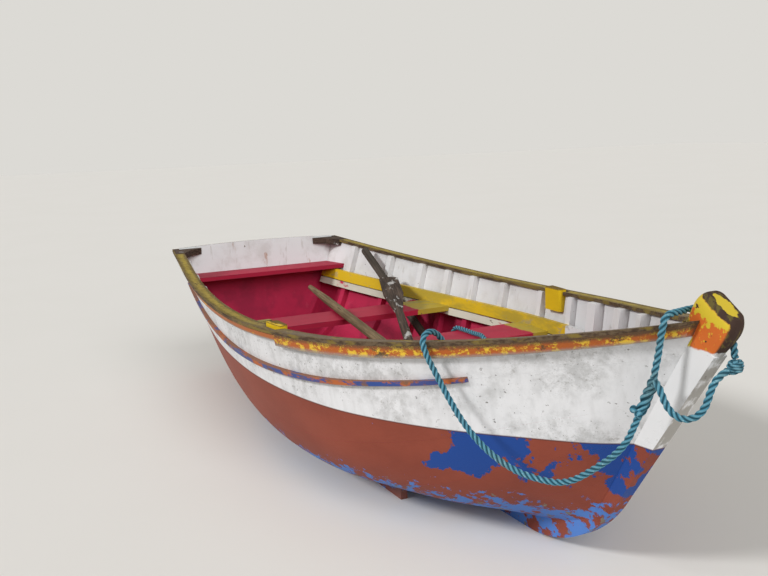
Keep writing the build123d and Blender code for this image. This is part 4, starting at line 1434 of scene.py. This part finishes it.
@dataclass
class Gunwale(DressedPieces):
    """Cap rails, rub strakes, the lower rail, thole blocks, knees and breasthook."""

    cap_rail: CapPaint = CapPaint()
    rub_strake_fwd: ChippedPaint = ChippedPaint(
        "chipped_orange_oil_paint", "#AE5B29", "#DDB539", "#5F4B33",
        flakes=Patches(0.026, 0.4, (0.5, 1.0, 0.9), soft=0.03, detail=9.0, ragged=0.78, shift=3.0),
        bare=Patches(0.045, 0.16, (0.4, 1, 1), soft=0.03, detail=8.0, ragged=0.7, shift=6.0),
        underside="#8F8882", top_wear="#5B4836", edge=0.022,
    )
    rub_strake_aft: ChippedPaint = ChippedPaint(
        "chipped_orange_oil_paint_aft", "#AC5F2B", "#D09A38", "#6B4A30",
        flakes=Patches(0.04, 0.22, (0.35, 1, 1), soft=0.03, detail=8.0, ragged=0.7, shift=1.0),
        bare=Patches(0.05, 0.09, (0.3, 1, 1), soft=0.02, shift=4.0),
        underside="#8F8882", top_wear="#5B4836", edge=0.010,
    )
    rub_rail: ChippedPaint = ChippedPaint(
        "flaking_blue_and_orange_oil_paint", "#324B8B", "#AD6036", "#7B5A48",
        flakes=Patches(0.06, 0.45, (0.35, 1.0, 1.2), soft=0.03, detail=8.0, ragged=0.72, shift=8.3),
        bare=Patches(0.04, 0.28, (0.5, 1, 1), soft=0.06, detail=8.0, ragged=0.7, shift=2.0),
        underside="#8A807A", top_wear="#8B6350", edge=0.004,
    )
    thole_block: ChippedPaint = ChippedPaint(
        "yellow_oil_paint_on_the_thole_blocks", "#DDB91F", "#C9A52B", "#3C2E24",
        flakes=Patches(0.05, 0.15, soft=0.04, shift=2.0), bare=Patches(0.03, 0.03, shift=5.0),
        top_wear="#6E5A2E",
    )
    quarter_knee: WornWood = WornWood(
        "dark_worn_pine", "#5E4D42", "#2F2621", (0.3, 0.95, 0.0), "#CFCFCE", 0.08
    )
    breasthook: ChippedPaint = ChippedPaint(
        "dirty_white_oil_paint", "#D5D4D2", "#B8A13A", "#5C4A3E",
        flakes=Patches(0.05, 0.12, shift=1.0), bare=Patches(0.04, 0.05, shift=3.0),
    )


@dataclass
class Interior(DressedPieces):
    """Frames, stringers, thwarts, seat and floor boards."""

    frames: InsidePaint = InsidePaint()
    bow_frames: InsidePaint = InsidePaint(
        "white_oil_paint_on_bow_frames", PaintedLine(base=0.30, start=0.6), white="#DFDFE0"
    )
    mid_thwart: ThwartPaint = ThwartPaint("mid_thwart", 0.40, 0.33)
    forward_thwart: ThwartPaint = ThwartPaint("forward_thwart", 0.52, 0.56)
    stern_seat: ThwartPaint = ThwartPaint("stern_seat", 0.9, 0.9)
    clamp: ClampPaint = ClampPaint()
    riser: ChippedPaint = ChippedPaint(
        "cream_oil_paint_on_the_risers", "#CFCBBB", "#B92B4C", "#5C4A3E",
        flakes=Patches(0.1, 0.25, (0.3, 1, 1), soft=0.03, shift=1.0),
        bare=Patches(0.03, 0.03, (0.4, 1, 1), shift=4.0),
    )
    floor_boards: ChippedPaint = ChippedPaint(
        "worn_crimson_oil_paint_on_floor_boards", "#A82A48", "#8A3A3C", "#5E4A40",
        flakes=Patches(0.09, 0.35, (0.35, 1, 1), soft=0.03, shift=2.0),
        bare=Patches(0.06, 0.12, (0.25, 1, 1), soft=0.03, shift=6.0),
    )


@dataclass
class Oars(DressedPieces):
    """The pair of oars and the short pole that lies under the dark one's blade."""

    oar_light: WornWood = WornWood("silvered_spruce", "#8B795C", "#5E4E3A", (0.9787, -0.2041, 0.0152))
    oar_dark: WornWood = WornWood(
        "tarred_spruce_with_old_paint", "#5E4E43", "#2F2722", (-0.9187, 0.3937, 0.0371), "#B5B3B0", 0.18
    )
    pole: WornWood = WornWood("weathered_ash", "#5F564D", "#38322D", (0.8770, 0.0, -0.4805))


def main() -> None:
    """Builds the studio and every part of the boat in order."""
    logging.basicConfig(level=logging.INFO, format="%(name)s: %(message)s")
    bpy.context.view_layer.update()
    for part in (Studio(), Painter(), Planking(), Gunwale(), Interior(), Oars()):
        part.build()
        LOG.info("%s finished", type(part).__name__)


if __name__ == "__main__":
    main()
